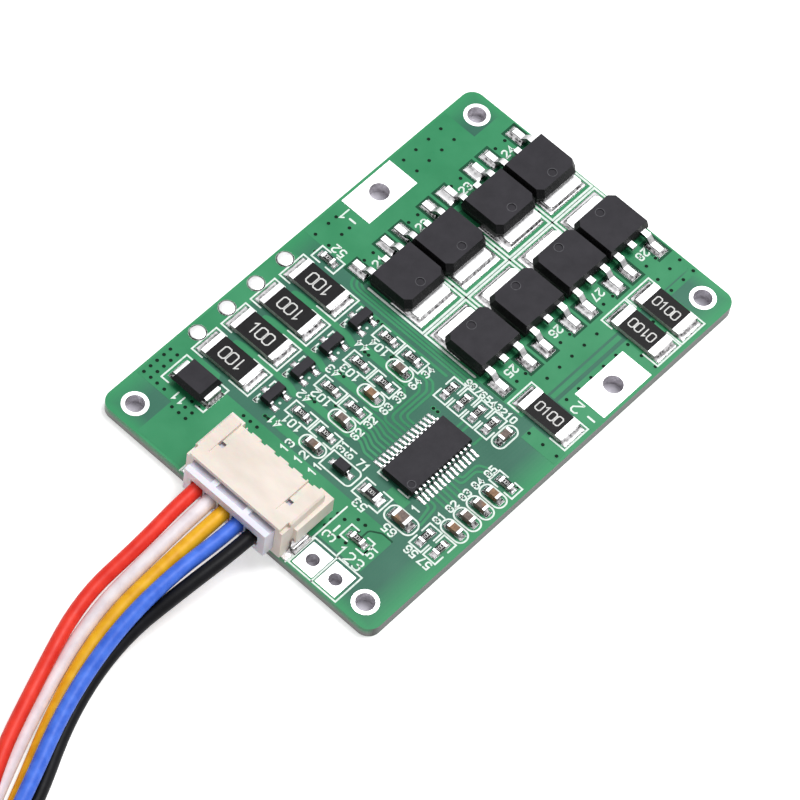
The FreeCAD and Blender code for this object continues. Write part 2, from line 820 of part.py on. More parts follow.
def make_plug():
    """Plug with a lip and two ribs on top, a cavity for each contact."""
    body = box(plug_front, plug_rear, -plug_half, plug_half, plug_low, plug_high)
    rib_top = plug_high + plug_lip_height
    lip = box(plug_front, plug_front + plug_lip, -plug_half, plug_half, plug_high, rib_top)
    ribs = []
    for y in (-plug_rib_spacing / 2, plug_rib_spacing / 2):
        ribs.append(box(plug_front, plug_rear, y - plug_rib_width / 2, y + plug_rib_width / 2,
                        plug_high, rib_top))
    half = plug_cavity / 2
    cavities = []
    for y in pin_y:
        cavities.append(box(plug_front, plug_rear, y - half, y + half,
                            pin_axis - half, pin_axis + half))
    body = body.fuse([lip] + ribs).cut(Part.makeCompound(cavities)).removeSplitter()
    save("plug_housing", [body])
    save("plug_contacts", [plug_contact(y) for y in pin_y])


def plug_contact(y):
    """Crimp contact: a box round the pin's tip and a barrel that holds the wire."""
    half = plug_cavity / 2
    crimp_front = plug_front + wire_start
    rear = plug_rear - contact_wall
    socket = box(rear - contact_length, rear, y - half, y + half, pin_axis - half, pin_axis + half)
    hollow = pin_size / 2
    opening = box(rear - contact_length, rear, y - hollow, y + hollow,
                  pin_axis - hollow, pin_axis + hollow)
    barrel_length = rear - contact_length - crimp_front
    barrel = Part.makeCylinder(half, barrel_length, Vector(crimp_front, y, pin_axis), Vector(1, 0, 0))
    tip = cavity_rear - pin_reach
    relief = box(tip, rear, y - hollow, y + hollow, pin_axis - hollow, pin_axis + hollow)
    return socket.fuse(barrel).cut(Part.makeCompound([opening, relief])).removeSplitter()


# Wires. Each route runs from the crimp in the plug to the coil, in points chosen by hand.
wire_radius = wire_diameter / 2
twist_radius = wire_radius / math.sin(math.pi / pin_count) + twist_clearance
bundle_radius = twist_radius + wire_radius
coil_inner_radius = coil_outer_radius - 2 * bundle_radius - coil_gap
wire_routes = {
    "red": [(-40.8, 3.5, 4.1), (-49.2, 3.7, 2.9), (-58.8, 0.3, 2.55), (-69.2, -3.9, 2.95)],
    "white": [(-40.8, 1.8, 4.0), (-49.2, 1.7, 2.6), (-58.8, -0.7, 0.9), (-69.2, -5.0, 0.85)],
    "yellow": [(-40.8, 0.0, 4.0), (-49.2, -0.1, 3.0), (-58.8, -2.5, 1.0), (-69.2, -7.4, 0.85)],
    "blue": [(-40.8, -1.6, 4.7), (-49.2, -1.8, 3.9), (-58.8, -3.8, 2.6), (-69.2, -8.4, 2.9)],
    "black": [(-40.8, -3.4, 4.0), (-49.2, -2.2, 1.9), (-58.8, -4.3, 0.9), (-69.2, -9.7, 1.1)],
}
# Where each wire sits in the twist, from the coil's outer side towards the top, in degrees
twist_places = {"red": 54, "white": -18, "yellow": -90, "blue": 126, "black": 198}


def wire_tube(points):
    """Round tube along straight runs joined by tangent arcs."""
    edges = []
    radii = []
    start = points[0]
    for before, corner, after in zip(points, points[1:], points[2:]):
        arriving = (corner - before).normalize()
        leaving = (after - corner).normalize()
        turn = arriving.getAngle(leaving)
        cut_back = 0.45 * min(corner.distanceToPoint(before), corner.distanceToPoint(after))
        radius = cut_back / math.tan(turn / 2)
        first = corner - arriving * cut_back
        last = corner + leaving * cut_back
        inward = (leaving - arriving).normalize()
        middle = corner + inward * (radius / math.cos(turn / 2) - radius)
        edges.append(Part.LineSegment(start, first).toShape())
        edges.append(Part.Arc(first, middle, last).toShape())
        radii.append(radius)
        start = last
    edges.append(Part.LineSegment(start, points[-1]).toShape())
    path = Part.Wire(edges)
    ring = Part.Wire(Part.Circle(points[0], points[1] - points[0], wire_radius).toShape())
    tube = path.makePipe(Part.Face(ring))
    expected = math.pi * wire_radius ** 2 * path.Length
    return tube, radii, tube.Volume / expected, path.Length


def coil_point(angle, radius, outward_offset=0, upward_offset=0):
    """Point on the coil, the angle in degrees along its winding from where the wires join it."""
    around = math.radians(coil_entry_angle + angle)
    reach = radius + outward_offset
    return Vector(coil_x + reach * math.cos(around), coil_y + reach * math.sin(around),
                  bundle_radius + upward_offset)


def winding_direction(angle):
    """Direction of the winding at an angle along it."""
    around = math.radians(coil_entry_angle + angle)
    return Vector(-math.sin(around), math.cos(around), 0)


def coil_arc(first, last, radius, middle):
    """Arc of the coil's centre line between two winding angles, about its own centre."""
    points = []
    for angle in (first, (first + last) / 2, last):
        around = math.radians(coil_entry_angle + angle)
        points.append(middle + Vector(math.cos(around), math.sin(around), 0) * radius)
    return Part.Arc(*points).toShape()


def make_coil():
    """Outer shape of the coil: a turn, half a turn that eases inwards, and part of a second turn."""
    middle = Vector(coil_x, coil_y, bundle_radius)
    step = (coil_outer_radius - coil_inner_radius) / 2
    inward_end = coil_inward_angle + 180
    shifted = middle + winding_direction(coil_inward_angle - 90) * step
    start = coil_point(0, coil_outer_radius)
    mouth = start - winding_direction(0) * wire_diameter
    edges = [Part.LineSegment(mouth, start).toShape()]
    edges.append(coil_arc(0, coil_inward_angle, coil_outer_radius, middle))
    edges.append(coil_arc(coil_inward_angle, inward_end, coil_outer_radius - step, shifted))
    edges.append(coil_arc(inward_end, coil_total_angle, coil_inner_radius, middle))
    ring = Part.Circle(mouth, winding_direction(0), bundle_radius)
    return Part.Wire(edges).makePipe(Part.Face(Part.Wire(ring.toShape())))


def make_tips():
    """Bare tinned ends of the wires, where the second turn stops."""
    tips = []
    along = winding_direction(coil_total_angle)
    for place in twist_places.values():
        outward = twist_radius * math.cos(math.radians(place))
        upward = twist_radius * math.sin(math.radians(place))
        start = coil_point(coil_total_angle, coil_inner_radius, outward, upward)
        tips.append(Part.makeCylinder(tip_diameter / 2, tip_length, start, along))
    return tips


def make_wires():
    """Five wires side by side in the plug that draw together where the coil begins."""
    for i, (colour, route) in enumerate(wire_routes.items()):
        start = Vector(plug_front + wire_start, -pin_y[i], pin_axis)
        straight = start - Vector(2 * wire_diameter, 0, 0)
        outward = twist_radius * math.cos(math.radians(twist_places[colour]))
        upward = twist_radius * math.sin(math.radians(twist_places[colour]))
        end = coil_point(0, coil_outer_radius, outward, upward) - winding_direction(0) * wire_diameter
        before_end = end - winding_direction(0) * coil_entry_run
        points = [start, straight] + [Vector(*point) for point in route] + [before_end, end]
        tube, radii, ratio, length = wire_tube(points)
        print(colour, "radii", [round(r, 1) for r in radii], "volume ratio", round(ratio, 4),
              "length", round(length, 1))
        save("wire_" + colour, [tube])
    save("wire_coil", [make_coil()])
    save("wire_tips", make_tips())


holes, drills = make_holes()
save("board", [make_board(drills)])
save("plated_holes", holes)
make_power_transistors()
make_large_resistors()
make_three_leg_transistors()
make_clamp_diode()
make_switching_diode()
make_controller()
make_small_chips()
make_header()
make_plug()
make_wires()
save("solder_lands", lands)
print("board", round(board_length, 3), "by", round(board_width, 3))
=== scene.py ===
import itertools
import math
import random

import bmesh
import bpy
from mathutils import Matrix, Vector


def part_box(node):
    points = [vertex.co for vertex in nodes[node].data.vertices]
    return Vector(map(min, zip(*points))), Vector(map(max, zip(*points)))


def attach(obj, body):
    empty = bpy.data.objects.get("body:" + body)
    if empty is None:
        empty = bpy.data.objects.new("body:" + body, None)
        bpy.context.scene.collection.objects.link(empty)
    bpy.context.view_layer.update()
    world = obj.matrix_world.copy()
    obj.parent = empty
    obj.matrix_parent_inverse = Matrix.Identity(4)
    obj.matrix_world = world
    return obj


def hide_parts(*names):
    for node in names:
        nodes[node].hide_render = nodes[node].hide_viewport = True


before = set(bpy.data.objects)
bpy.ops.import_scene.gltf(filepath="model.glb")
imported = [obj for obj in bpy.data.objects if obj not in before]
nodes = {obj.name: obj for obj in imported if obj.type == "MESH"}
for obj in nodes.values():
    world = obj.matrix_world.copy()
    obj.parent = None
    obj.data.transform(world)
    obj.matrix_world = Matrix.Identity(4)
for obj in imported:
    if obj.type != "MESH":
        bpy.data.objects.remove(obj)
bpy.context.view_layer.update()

chance = random.Random(11)

# Sizes in millimetres, in the part's own frame, unless a name says otherwise
MM = 0.001
half_length = 30.0
half_width = 20.0
board_top = 1.6
seat = 1.65

# Heights of what lies on the board, each a little above the last, so that no two share a plane
copper_bottom = board_top - 0.01
pour_top = board_top + 0.015
gap_top = board_top + 0.019
via_shade_top = board_top + 0.021
rim_top = board_top + 0.027
print_top = board_top + 0.034

# Lacquer: the weave's pitch, the dark moat round the lands of the power transistors' leads,
# which all lie past one place along X, widened and darkened with painted shadow, and how far
# from the board's edges the painted glow of the laminate starts and is brightest
weave_pitch = 0.45
moat_with_shadow = 0.34
moat_land = (1.55, 2.4)
power_side = 1.0
painted_rim_light_reach_x = 2.2
painted_rim_light_reach_y = 3.4
painted_rim_light_full = 0.3

# Places of the parts along the board, and round the control chip
channel_x = [-16.145 + 4.61 * i for i in range(4)]
transistor_x = [4.885 + 7.17 * i for i in range(4)]
shunt_x = (3.6, 19.05, 23.15)
controller_pitch = 0.65
controller_centre = (-9.9, -9.62)
controller_middle_pin = 6.5
left_column_x = -17.45
bottom_row_x = [-14.35 + 2.06 * i for i in range(5)]
right_column_y = [-9.62 - 2.03 * (i - 2) for i in range(5)]

# Printing: widths of its lines, half sizes of its frames, heights of its digits
print_width = 0.2
bold_width = 0.27
dash_width = 0.25
large_frame = 1.93
chip_frame = 0.86
frame_corner = 0.8
small_digit = 0.85
plain_digit = 0.95

# Marks on the parts: how far they sink in and how far they stand out
mark_sink = 0.004
mark_height = 0.012
small_mark_height = 0.01
# Height of the painted highlight rings round the moulded bodies' marks
highlight_rim_height = 0.006

# Solder: it keeps inside its land, in a grid of cells, and climbs closer to a tab's metal. Bare
# lands past one place along Y are test lands, each with a dome.
solder_inset = 0.012
solder_cell = 0.15
fewest_cells = 5
most_cells = 40
tab_land = 4.0
tab_bend = 3.5
lead_bend = 1.7
dome_height = 0.14
test_land_y = 15

# Camera
camera_place = (-217.53, -145.59, 410.67)
camera_turn = (31.5249, -5.3542, -47.2246)
camera_lens = 200.2
camera_sensor = 36.0
camera_range = (0.02, 5.0)  # metres

# Light that reaches rough surfaces from all round, where white is 1, and the lamp, in metres
# and watts
ambient = 0.34
floor_glow = 0.5
lamp_place = (0.26, -0.08, 0.68)
lamp_size = 0.4
lamp_power = 4.5

# Floor, and the grey card of painted shade that shows through the board's holes
floor_half = 3000
floor_level = -0.03
shade_card_inset = 0.7
shade_card_level = -0.015

# Wires, as the part's source lays them
wire_radius = 0.85
pin_pitch = 2.0
wire_start = (-30.65, 4.35)
wire_straight = 3.4
wire_routes = {
    "red": [(-40.8, 3.5, 4.1), (-49.2, 3.7, 2.9), (-58.8, 0.3, 2.55), (-69.2, -3.9, 2.95)],
    "white": [(-40.8, 1.8, 4.0), (-49.2, 1.7, 2.6), (-58.8, -0.7, 0.9), (-69.2, -5.0, 0.85)],
    "yellow": [(-40.8, 0.0, 4.0), (-49.2, -0.1, 3.0), (-58.8, -2.5, 1.0), (-69.2, -7.4, 0.85)],
    "blue": [(-40.8, -1.6, 4.7), (-49.2, -1.8, 3.9), (-58.8, -3.8, 2.6), (-69.2, -8.4, 2.9)],
    "black": [(-40.8, -3.4, 4.0), (-49.2, -2.2, 1.9), (-58.8, -4.3, 0.9), (-69.2, -9.7, 1.1)],
}
twist_places = {"red": 54, "white": -18, "yellow": -90, "blue": 126, "black": 198}
twist_radius = wire_radius / math.sin(math.pi / 5) + 0.02
bundle_radius = twist_radius + wire_radius
twist_turns = 2
coil_centre = (-78.6, -23.9)
coil_entry_angle = 116
coil_entry_run = 5.0
coil_entry_length = 1.7
coil_outer_radius = 11.4
coil_inner_radius = coil_outer_radius - 2 * bundle_radius - 0.1
coil_inward_angle = 160
coil_total_angle = 500
coil_step = 15

# Copper under the lacquer: outlines of the large areas, anticlockwise, and plain rectangles,
# each from low to high along X and along Y
copper_areas = [
    [(-29.7, -7.5), (-25.2, -7.5), (-25.2, -14.1), (-20.4, -14.1), (-19.5, -13.2), (-19.5, 12.4),
     (-18.2, 13.2), (-18.2, 17.3), (-1.0, 17.3), (-1.0, 19.7), (-24.5, 19.7), (-24.5, 14.5),
     (-29.7, 14.5)],
    [(1.9, 9.5), (29.7, 9.5), (29.7, 15.2), (25.1, 15.2), (25.1, 19.7), (15.5, 19.7),
     (15.5, 15.6), (8.1, 15.6), (8.1, 19.7), (1.9, 19.7)],
    [(5.7, -19.7), (8.1, -19.7), (8.1, -15.6), (15.5, -15.6), (15.5, -19.7), (25.2, -19.7),
     (25.2, -14.7), (5.7, -14.7)],
]
copper_blocks = [
    (1.4, 29.7, -13.3, 1.2), (1.9, 29.7, 1.4, 9.4), (5.7, 17.0, -14.2, -13.62),
    (-0.5, 1.5, -19.7, -14.9), (-16.3, -15.1, -12.1, -9.4), (25.2, 29.7, -14.3, -13.5),
]
copper_gap = [(-22.2, -11.35), (-20.9, -11.35), (-20.1, -12.6), (-20.1, -14.0)]
copper_gap_width = 0.22
fine_trace = 0.3
wide_trace = 1.0

# Vias: the levels along Y and the places along X of each group of rows
via_radius = 0.22
via_rim = 0.1
via_groups = [
    ((19.2, 18.17), (-23.9, -22.87, -21.87, -20.8, -19.8)), ((17.17, 16.1), (-23.93,)),
    ((13.97,), (-24.93,)), ((12.95, 11.93), (-24.93, -23.93, -22.9)),
    ((7.83, 6.83, 5.83), (-20.17,)), ((6.2, 5.7), (-18.53,)), ((3.7, 4.25), (-13.37, -8.75, -4.8)),
    ((1.78,), (-12.08, -11.58, -7.3, -6.85, -3.2, -2.7)), ((5.97, 5.35), (-0.83,)),
    ((17.05,), (0.83,)), ((18.55, 16.52), (2.5, 4.6, 5.85, 16.93, 18.97, 21.07, 23.13)),
    ((12.45,), (3.9, 5.35, 11.15, 12.65, 18.2, 19.75, 25.6, 27.2)),
    ((3.33,), (8.49, 15.65, 22.9)),
    ((1.3,), (2.27, 4.33, 6.4, 8.4, 10.5, 12.55, 15.6, 18.8, 20.8, 22.85, 24.9, 27.0)),
    ((-9.85,), (4.45, 5.9, 11.65, 13.2, 18.85, 20.4, 26.1, 27.65)),
    ((-11.9,), (7.15, 9.2, 11.25, 13.3, 15.4)), ((-11.9, -13.9), (25.7, 27.75, 29.45)),
    ((-15.2,), (6.65, 8.65, 10.7, 12.8, 14.85)), ((-15.2, -17.2), (0.5, 16.85, 21.1)),
    ((-19.2,), (0.5, 2.55, 4.55, 16.9, 18.95, 23.1, 24.7)), ((-5.83, -6.45), (-4.67,)),
    ((-18.45,), (-13.4, -11.33, -9.25, -5.45)), ((-18.85,), (-5.4,)),
    ((-7.6,), (-23.75, -22.75, -21.7)), ((-8.6,), (-21.73,)),
    ((-9.63,), (-23.75, -21.7, -20.7)), ((-10.63,), (-23.75, -21.7, -20.67)),
]

# Strokes of the plain digits, in a cell 0.6 wide and 1 high
digit_strokes = {
    "0": [[(0.14, 0), (0.46, 0), (0.6, 0.14), (0.6, 0.86), (0.46, 1), (0.14, 1), (0, 0.86), (0, 0.14)]],
    "1": [[(0.1, 0.8), (0.32, 1), (0.32, 0)]],
    "2": [[(0, 0.86), (0.14, 1), (0.46, 1), (0.6, 0.86), (0.6, 0.62), (0, 0.06), (0, 0), (0.6, 0)]],
    "3": [[(0, 0.9), (0.14, 1), (0.46, 1), (0.6, 0.86), (0.6, 0.64), (0.46, 0.52), (0.22, 0.52)],
          [(0.46, 0.52), (0.6, 0.38), (0.6, 0.14), (0.46, 0), (0.14, 0), (0, 0.1)]],
    "4": [[(0.46, 0), (0.46, 1), (0, 0.32), (0.6, 0.32)]],
    "5": [[(0.58, 1), (0.06, 1), (0.03, 0.56), (0.44, 0.6), (0.6, 0.46), (0.6, 0.14), (0.46, 0),
           (0.14, 0), (0, 0.1)]],
    "6": [[(0.56, 0.9), (0.44, 1), (0.14, 1), (0, 0.86), (0, 0.14), (0.14, 0), (0.46, 0), (0.6, 0.14),
           (0.6, 0.4), (0.46, 0.54), (0.04, 0.54)]],
    "7": [[(0, 1), (0.6, 1), (0.22, 0)]],
    "8": [[(0.14, 0.53), (0, 0.4), (0, 0.14), (0.14, 0), (0.46, 0), (0.6, 0.14), (0.6, 0.4),
           (0.46, 0.53)],
          [(0.46, 0.53), (0.58, 0.66), (0.58, 0.88), (0.46, 1), (0.14, 1), (0.02, 0.88),
           (0.02, 0.66), (0.14, 0.53), (0.46, 0.53)]],
}
digit_strokes["9"] = [[(0.6 - u, 1 - v) for u, v in digit_strokes["6"][0]]]


def srgb(red, green, blue):
    """Colour as it shows, 0 to 255, turned to Blender's linear values."""
    values = []
    for value in (red, green, blue):
        share = value / 255
        values.append(share / 12.92 if share <= 0.04045 else ((share + 0.055) / 1.055) ** 2.4)
    return (*values, 1)


def add_object(name, data):
    """New object in the scene."""
    piece = bpy.data.objects.new(name, data)
    bpy.context.scene.collection.objects.link(piece)
    return piece


def make_camera():
    """Camera at the photograph's place."""
    data = bpy.data.cameras.new("camera")
    data.sensor_width = camera_sensor
    data.lens = camera_lens
    data.clip_start, data.clip_end = camera_range
    camera = add_object("camera", data)
    camera.location = Vector(camera_place) * MM
    camera.rotation_euler = [math.radians(angle) for angle in camera_turn]
    bpy.context.scene.camera = camera


def feed(node, inputs):
    """Values, or other nodes' outputs, into a shader node's inputs."""
    for name, value in inputs.items():
        if isinstance(value, bpy.types.NodeSocket):
            node.id_data.links.new(value, node.inputs[name])
        else:
            node.inputs[name].default_value = value


def add_node(tree, kind, inputs, **settings):
    """New shader node with its settings and inputs."""
    node = tree.nodes.new("ShaderNode" + kind)
    for name, value in settings.items():
        setattr(node, name, value)
    feed(node, inputs)
    return node


class Finish:
    """One procedural material: a shader with its colour and bump built up by short calls."""

    def __init__(self, name, colour, roughness, specular=0.5, metallic=0.0):
        self.material = bpy.data.materials.new(name)
        self.material.use_nodes = True
        self.tree = self.material.node_tree
        self.shader = self.tree.nodes["Principled BSDF"]
        feed(self.shader, {"Base Color": srgb(*colour), "Roughness": roughness,
                           "Specular IOR Level": specular, "Metallic": metallic})
        self.normal = None
        self.place = self.add("TexCoord").outputs["Object"]

    def add(self, kind, inputs=None, **settings):
        """New node of this material."""
        return add_node(self.tree, kind, inputs or {}, **settings)

    def noise(self, size, detail=3.0, stretch=(1, 1, 1)):
        """Noise whose blotches are about size millimetres across."""
        mapping = self.add("Mapping", {"Vector": self.place, "Scale": stretch})
        node = self.add("TexNoise", {"Vector": mapping.outputs["Vector"], "Scale": 1 / (size * MM),
                                     "Detail": detail, "Roughness": 0.5})
        return node.outputs["Fac"]

    def ramp(self, value, dark, light, low=0.3, high=0.7):
        """Two colours as they show, from one to the other as a value goes from low to high."""
        node = self.add("ValToRGB", {"Fac": value})
        for element, level, colour in zip(node.color_ramp.elements, (low, high), (dark, light)):
            element.position = level
            element.color = srgb(*colour)
        return node.outputs["Color"]

    def tones(self, size, detail, dark, light, low=0.3, high=0.7):
        """Blotches between two colours."""
        return self.ramp(self.noise(size, detail), dark, light, low, high)

    def mix(self, share, first, second):
        """First colour where the share is 0, second where it is 1."""
        node = self.add("Mix", {"Factor": share, "A": first, "B": second}, data_type="RGBA")
        return node.outputs["Result"]

    def combine(self, operation, first, second):
        """Result of a sum or the like on two values."""
        return self.add("Math", {0: first, 1: second}, operation=operation).outputs["Value"]

    def paint(self, colour):
        """Colour of the whole surface."""
        feed(self.shader, {"Base Color": colour})

    def bump(self, value, depth):
        """Relief of about depth millimetres."""
        node = self.add("Bump", {"Distance": depth * MM, "Strength": 1.0, "Height": value})
        if self.normal:
            feed(node, {"Normal": self.normal})
        self.normal = node.outputs["Normal"]
        feed(self.shader, {"Normal": self.normal})

    def roughen(self, value, low, high):
        """Roughness between two values."""
        node = self.add("MapRange", {"To Min": low, "To Max": high, "Value": value})
        feed(self.shader, {"Roughness": node.outputs["Result"]})

    def along(self, vector, axis, low, high):
        """From 0 to 1 as the size of a vector's part along an axis goes from low to high."""
        split = self.add("SeparateXYZ", {"Vector": vector})
        size = self.add("Math", {0: split.outputs[axis]}, operation="ABSOLUTE").outputs["Value"]
        limits = self.add("MapRange", {"From Min": low, "From Max": high, "Value": size})
        return limits.outputs["Result"]

    def facing(self, axis, low=0.5, high=0.8, kind="True Normal"):
        """1 on faces that look along an axis, either way, and 0 on faces square to it."""
        return self.along(self.add("NewGeometry").outputs[kind], axis, low, high)

    def reach(self, axis, low, high):
        """From 0 to 1 as the distance from the middle goes from low to high, in millimetres."""
        return self.along(self.place, axis, low * MM, high * MM)


def weave(finish):
    """Faint cloth weave of the laminate under its lacquer."""
    band = 0.314  # width of a wave texture's band at a scale of 1
    waves = []
    for axis in ("X", "Y"):
        inputs = {"Vector": finish.place, "Scale": band / (weave_pitch * MM), "Distortion": 0.6}
        wave = finish.add("TexWave", inputs, bands_direction=axis)
        waves.append(wave.outputs["Fac"])
    return finish.combine("MULTIPLY", *waves)


def board_finish():
    """Green lacquer over bare laminate, with a painted glow near the board's edges standing for
    light that enters the laminate. The walls that face along Y are dark grey, those along X pale.
    """
    finish = Finish("board_laminate", (50, 112, 88), 0.34, 0.28)
    blotches = finish.noise(9, 3)
    lacquer = finish.ramp(blotches, (38, 100, 80), (56, 116, 94))
    # Painted glow: the lacquer is painted lighter near the edges, in place of light through the
    # laminate
    painted_rim_light = finish.ramp(blotches, (40, 142, 90), (62, 154, 104))
    rim_x = finish.reach("X", half_length - painted_rim_light_reach_x, half_length - painted_rim_light_full)
    rim_y = finish.reach("Y", half_width - painted_rim_light_reach_y, half_width - painted_rim_light_full)
    lacquer = finish.mix(finish.combine("MAXIMUM", rim_x, rim_y), lacquer, painted_rim_light)
    layers = finish.noise(0.5, 4, stretch=(0.3, 0.3, 9))
    # Wall tones follow only which way a wall faces: dark grey along Y, pale grey along X, turning to
    # lacquer green towards the top
    y_wall_tone = finish.ramp(layers, (40, 48, 44), (74, 80, 74), high=0.75)
    x_wall_tone = finish.ramp(layers, (122, 122, 120), (166, 162, 160), high=0.75)
    x_wall_tone = finish.mix(finish.reach("Z", 0.5, 1.3), x_wall_tone, lacquer)
    edge = finish.mix(finish.facing("X"), y_wall_tone, x_wall_tone)
    finish.paint(finish.mix(finish.facing("Z"), edge, lacquer))
    finish.bump(weave(finish), 0.0015)
    finish.bump(finish.noise(1.6, 2), 0.006)
    return finish.material


def pour_finish():
    """Green lacquer over copper."""
    finish = Finish("lacquered_copper", (40, 148, 96), 0.3, 0.3)
    finish.paint(finish.tones(7, 4, (34, 132, 84), (58, 150, 102), high=0.72))
    finish.bump(finish.noise(1.3, 3), 0.008)
    finish.bump(finish.noise(0.12, 2), 0.0015)
    finish.roughen(finish.noise(3, 2), 0.24, 0.4)
    return finish.material


def gap_finish():
    """Lacquer in the gaps between copper, where the laminate shows darker, and painted shadow."""
    finish = Finish("gap_and_shadow_lacquer", (26, 88, 64), 0.36, 0.15)
    finish.paint(finish.tones(3, 3, (8, 66, 42), (22, 88, 60)))
    finish.bump(finish.noise(0.9, 2), 0.005)
    return finish.material


def hole_finish():
    """Painted shade of a via's hole: a dark disc in place of its depth."""
    finish = Finish("painted_via_shade", (6, 30, 20), 0.6, 0.1)
    finish.paint(finish.tones(0.2, 3, (4, 24, 14), (12, 40, 26)))
    return finish.material


def print_finish():
    """White printing ink, thin in places."""
    finish = Finish("printing_ink", (240, 243, 240), 0.55)
    finish.paint(finish.tones(0.35, 4, (204, 228, 214), (242, 250, 245), 0.25, 0.6))
    finish.bump(finish.noise(0.1, 2), 0.003)
    return finish.material


def metal_finish(name, tone, shade, dark, roughness, ripple, steep=0.45, level=0.93):
    """Tinned metal: pale, a little uneven, and painted reflection from shade to dark where steep."""
    finish = Finish(name, (tone, tone, tone), roughness, metallic=1.0)
    dull = (tone - 12, tone - 13, tone - 11)
    bright = (min(tone + 4, 255), min(tone + 4, 255), min(tone + 5, 255))
    pale = finish.tones(0.7, 4, dull, bright)
    steep_reflection = finish.tones(0.4, 3, (dark, dark - 2, dark), (shade, shade - 2, shade - 1), 0.36, 0.64)
    finish.paint(finish.mix(finish.facing("Z", steep, level, "Normal"), steep_reflection, pale))
    finish.roughen(finish.noise(0.5, 3), roughness - 0.06, roughness + 0.08)
    finish.bump(finish.noise(0.6, 2), ripple)
    finish.bump(finish.noise(0.12, 2), 0.003)
    return finish.material


def moulding_finish():
    """Black epoxy moulding with a fine matt grain, its walls painted darker as painted shade."""
    finish = Finish("black_epoxy", (38, 37, 42), 0.55, 0.2)
    top = finish.tones(1.8, 4, (33, 31, 37), (43, 41, 47))
    shaded_wall = finish.tones(0.9, 3, (8, 7, 9), (20, 18, 20))
    finish.paint(finish.mix(finish.facing("Z", 0.3, 0.96), shaded_wall, top))
    finish.roughen(finish.noise(0.6, 3), 0.42, 0.6)
    finish.bump(finish.noise(0.09, 3), 0.006)
    finish.bump(finish.noise(0.5, 2), 0.004)
    return finish.material


def resistor_finish():
    """Black glaze on top of a pale ceramic body."""
    finish = Finish("resistor_body", (22, 21, 23), 0.4, 0.15)
    glaze = finish.tones(0.8, 3, (10, 9, 11), (20, 19, 21))
    ceramic = finish.tones(0.3, 3, (150, 148, 146), (190, 188, 185))
    finish.paint(finish.mix(finish.facing("Z"), ceramic, glaze))
    finish.bump(finish.noise(0.2, 3), 0.006)
    return finish.material


def capacitor_finish():
    """Tan fired ceramic with faint layers."""
    finish = Finish("capacitor_body", (126, 104, 92), 0.45, 0.35)
    layers = finish.noise(0.25, 4, stretch=(1, 1, 2))
    grey = finish.ramp(layers, (84, 70, 65), (130, 112, 103), high=0.75)
    warm = finish.ramp(layers, (112, 80, 54), (160, 122, 88), high=0.75)
    batch = finish.tones(3, 1, (0, 0, 0), (255, 255, 255), 0.52, 0.6)
    finish.paint(finish.mix(batch, grey, warm))
    finish.bump(finish.noise(0.07, 3), 0.004)
    return finish.material


def nylon_finish(name, dark, light, roughness, depth, shelf=None):
    """Moulded nylon: translucent to a depth in millimetres, with a faint flow pattern. Level
    faces under the shelf's height are painted duller, as painted shade from the parts above.
    """
    finish = Finish(name, light, roughness)
    feed(finish.shader, {"Subsurface Weight": 0.4, "Subsurface Scale": depth * MM})
    tone = finish.ramp(finish.noise(2.4, 3, stretch=(1, 0.4, 1)), dark, light)
    if shelf:
        # Painted shade on level faces under the shelf's height
        dull = finish.tones(1.2, 3, (204, 200, 216), (220, 216, 230))
        low = finish.reach("Z", shelf + 0.05, shelf - 0.05)
        tone = finish.mix(finish.combine("MULTIPLY", low, finish.facing("Z")), tone, dull)
    finish.paint(tone)
    finish.roughen(finish.noise(1.0, 2), roughness - 0.06, roughness + 0.1)
    finish.bump(finish.noise(0.12, 3), 0.003)
    finish.bump(finish.noise(1.5, 2), 0.008)
    return finish.material


def wire_finish(name, dark, light, sheen):
    """Soft silicone insulation with a slight sheen and fine scuffs."""
    finish = Finish(name, light, 0.45, sheen)
    finish.paint(finish.tones(1.4, 4, dark, light, high=0.68))
    finish.roughen(finish.noise(0.8, 3), 0.34, 0.56)
    finish.bump(finish.noise(0.5, 3), 0.012)
    finish.bump(finish.noise(0.08, 2), 0.003)
    return finish.material


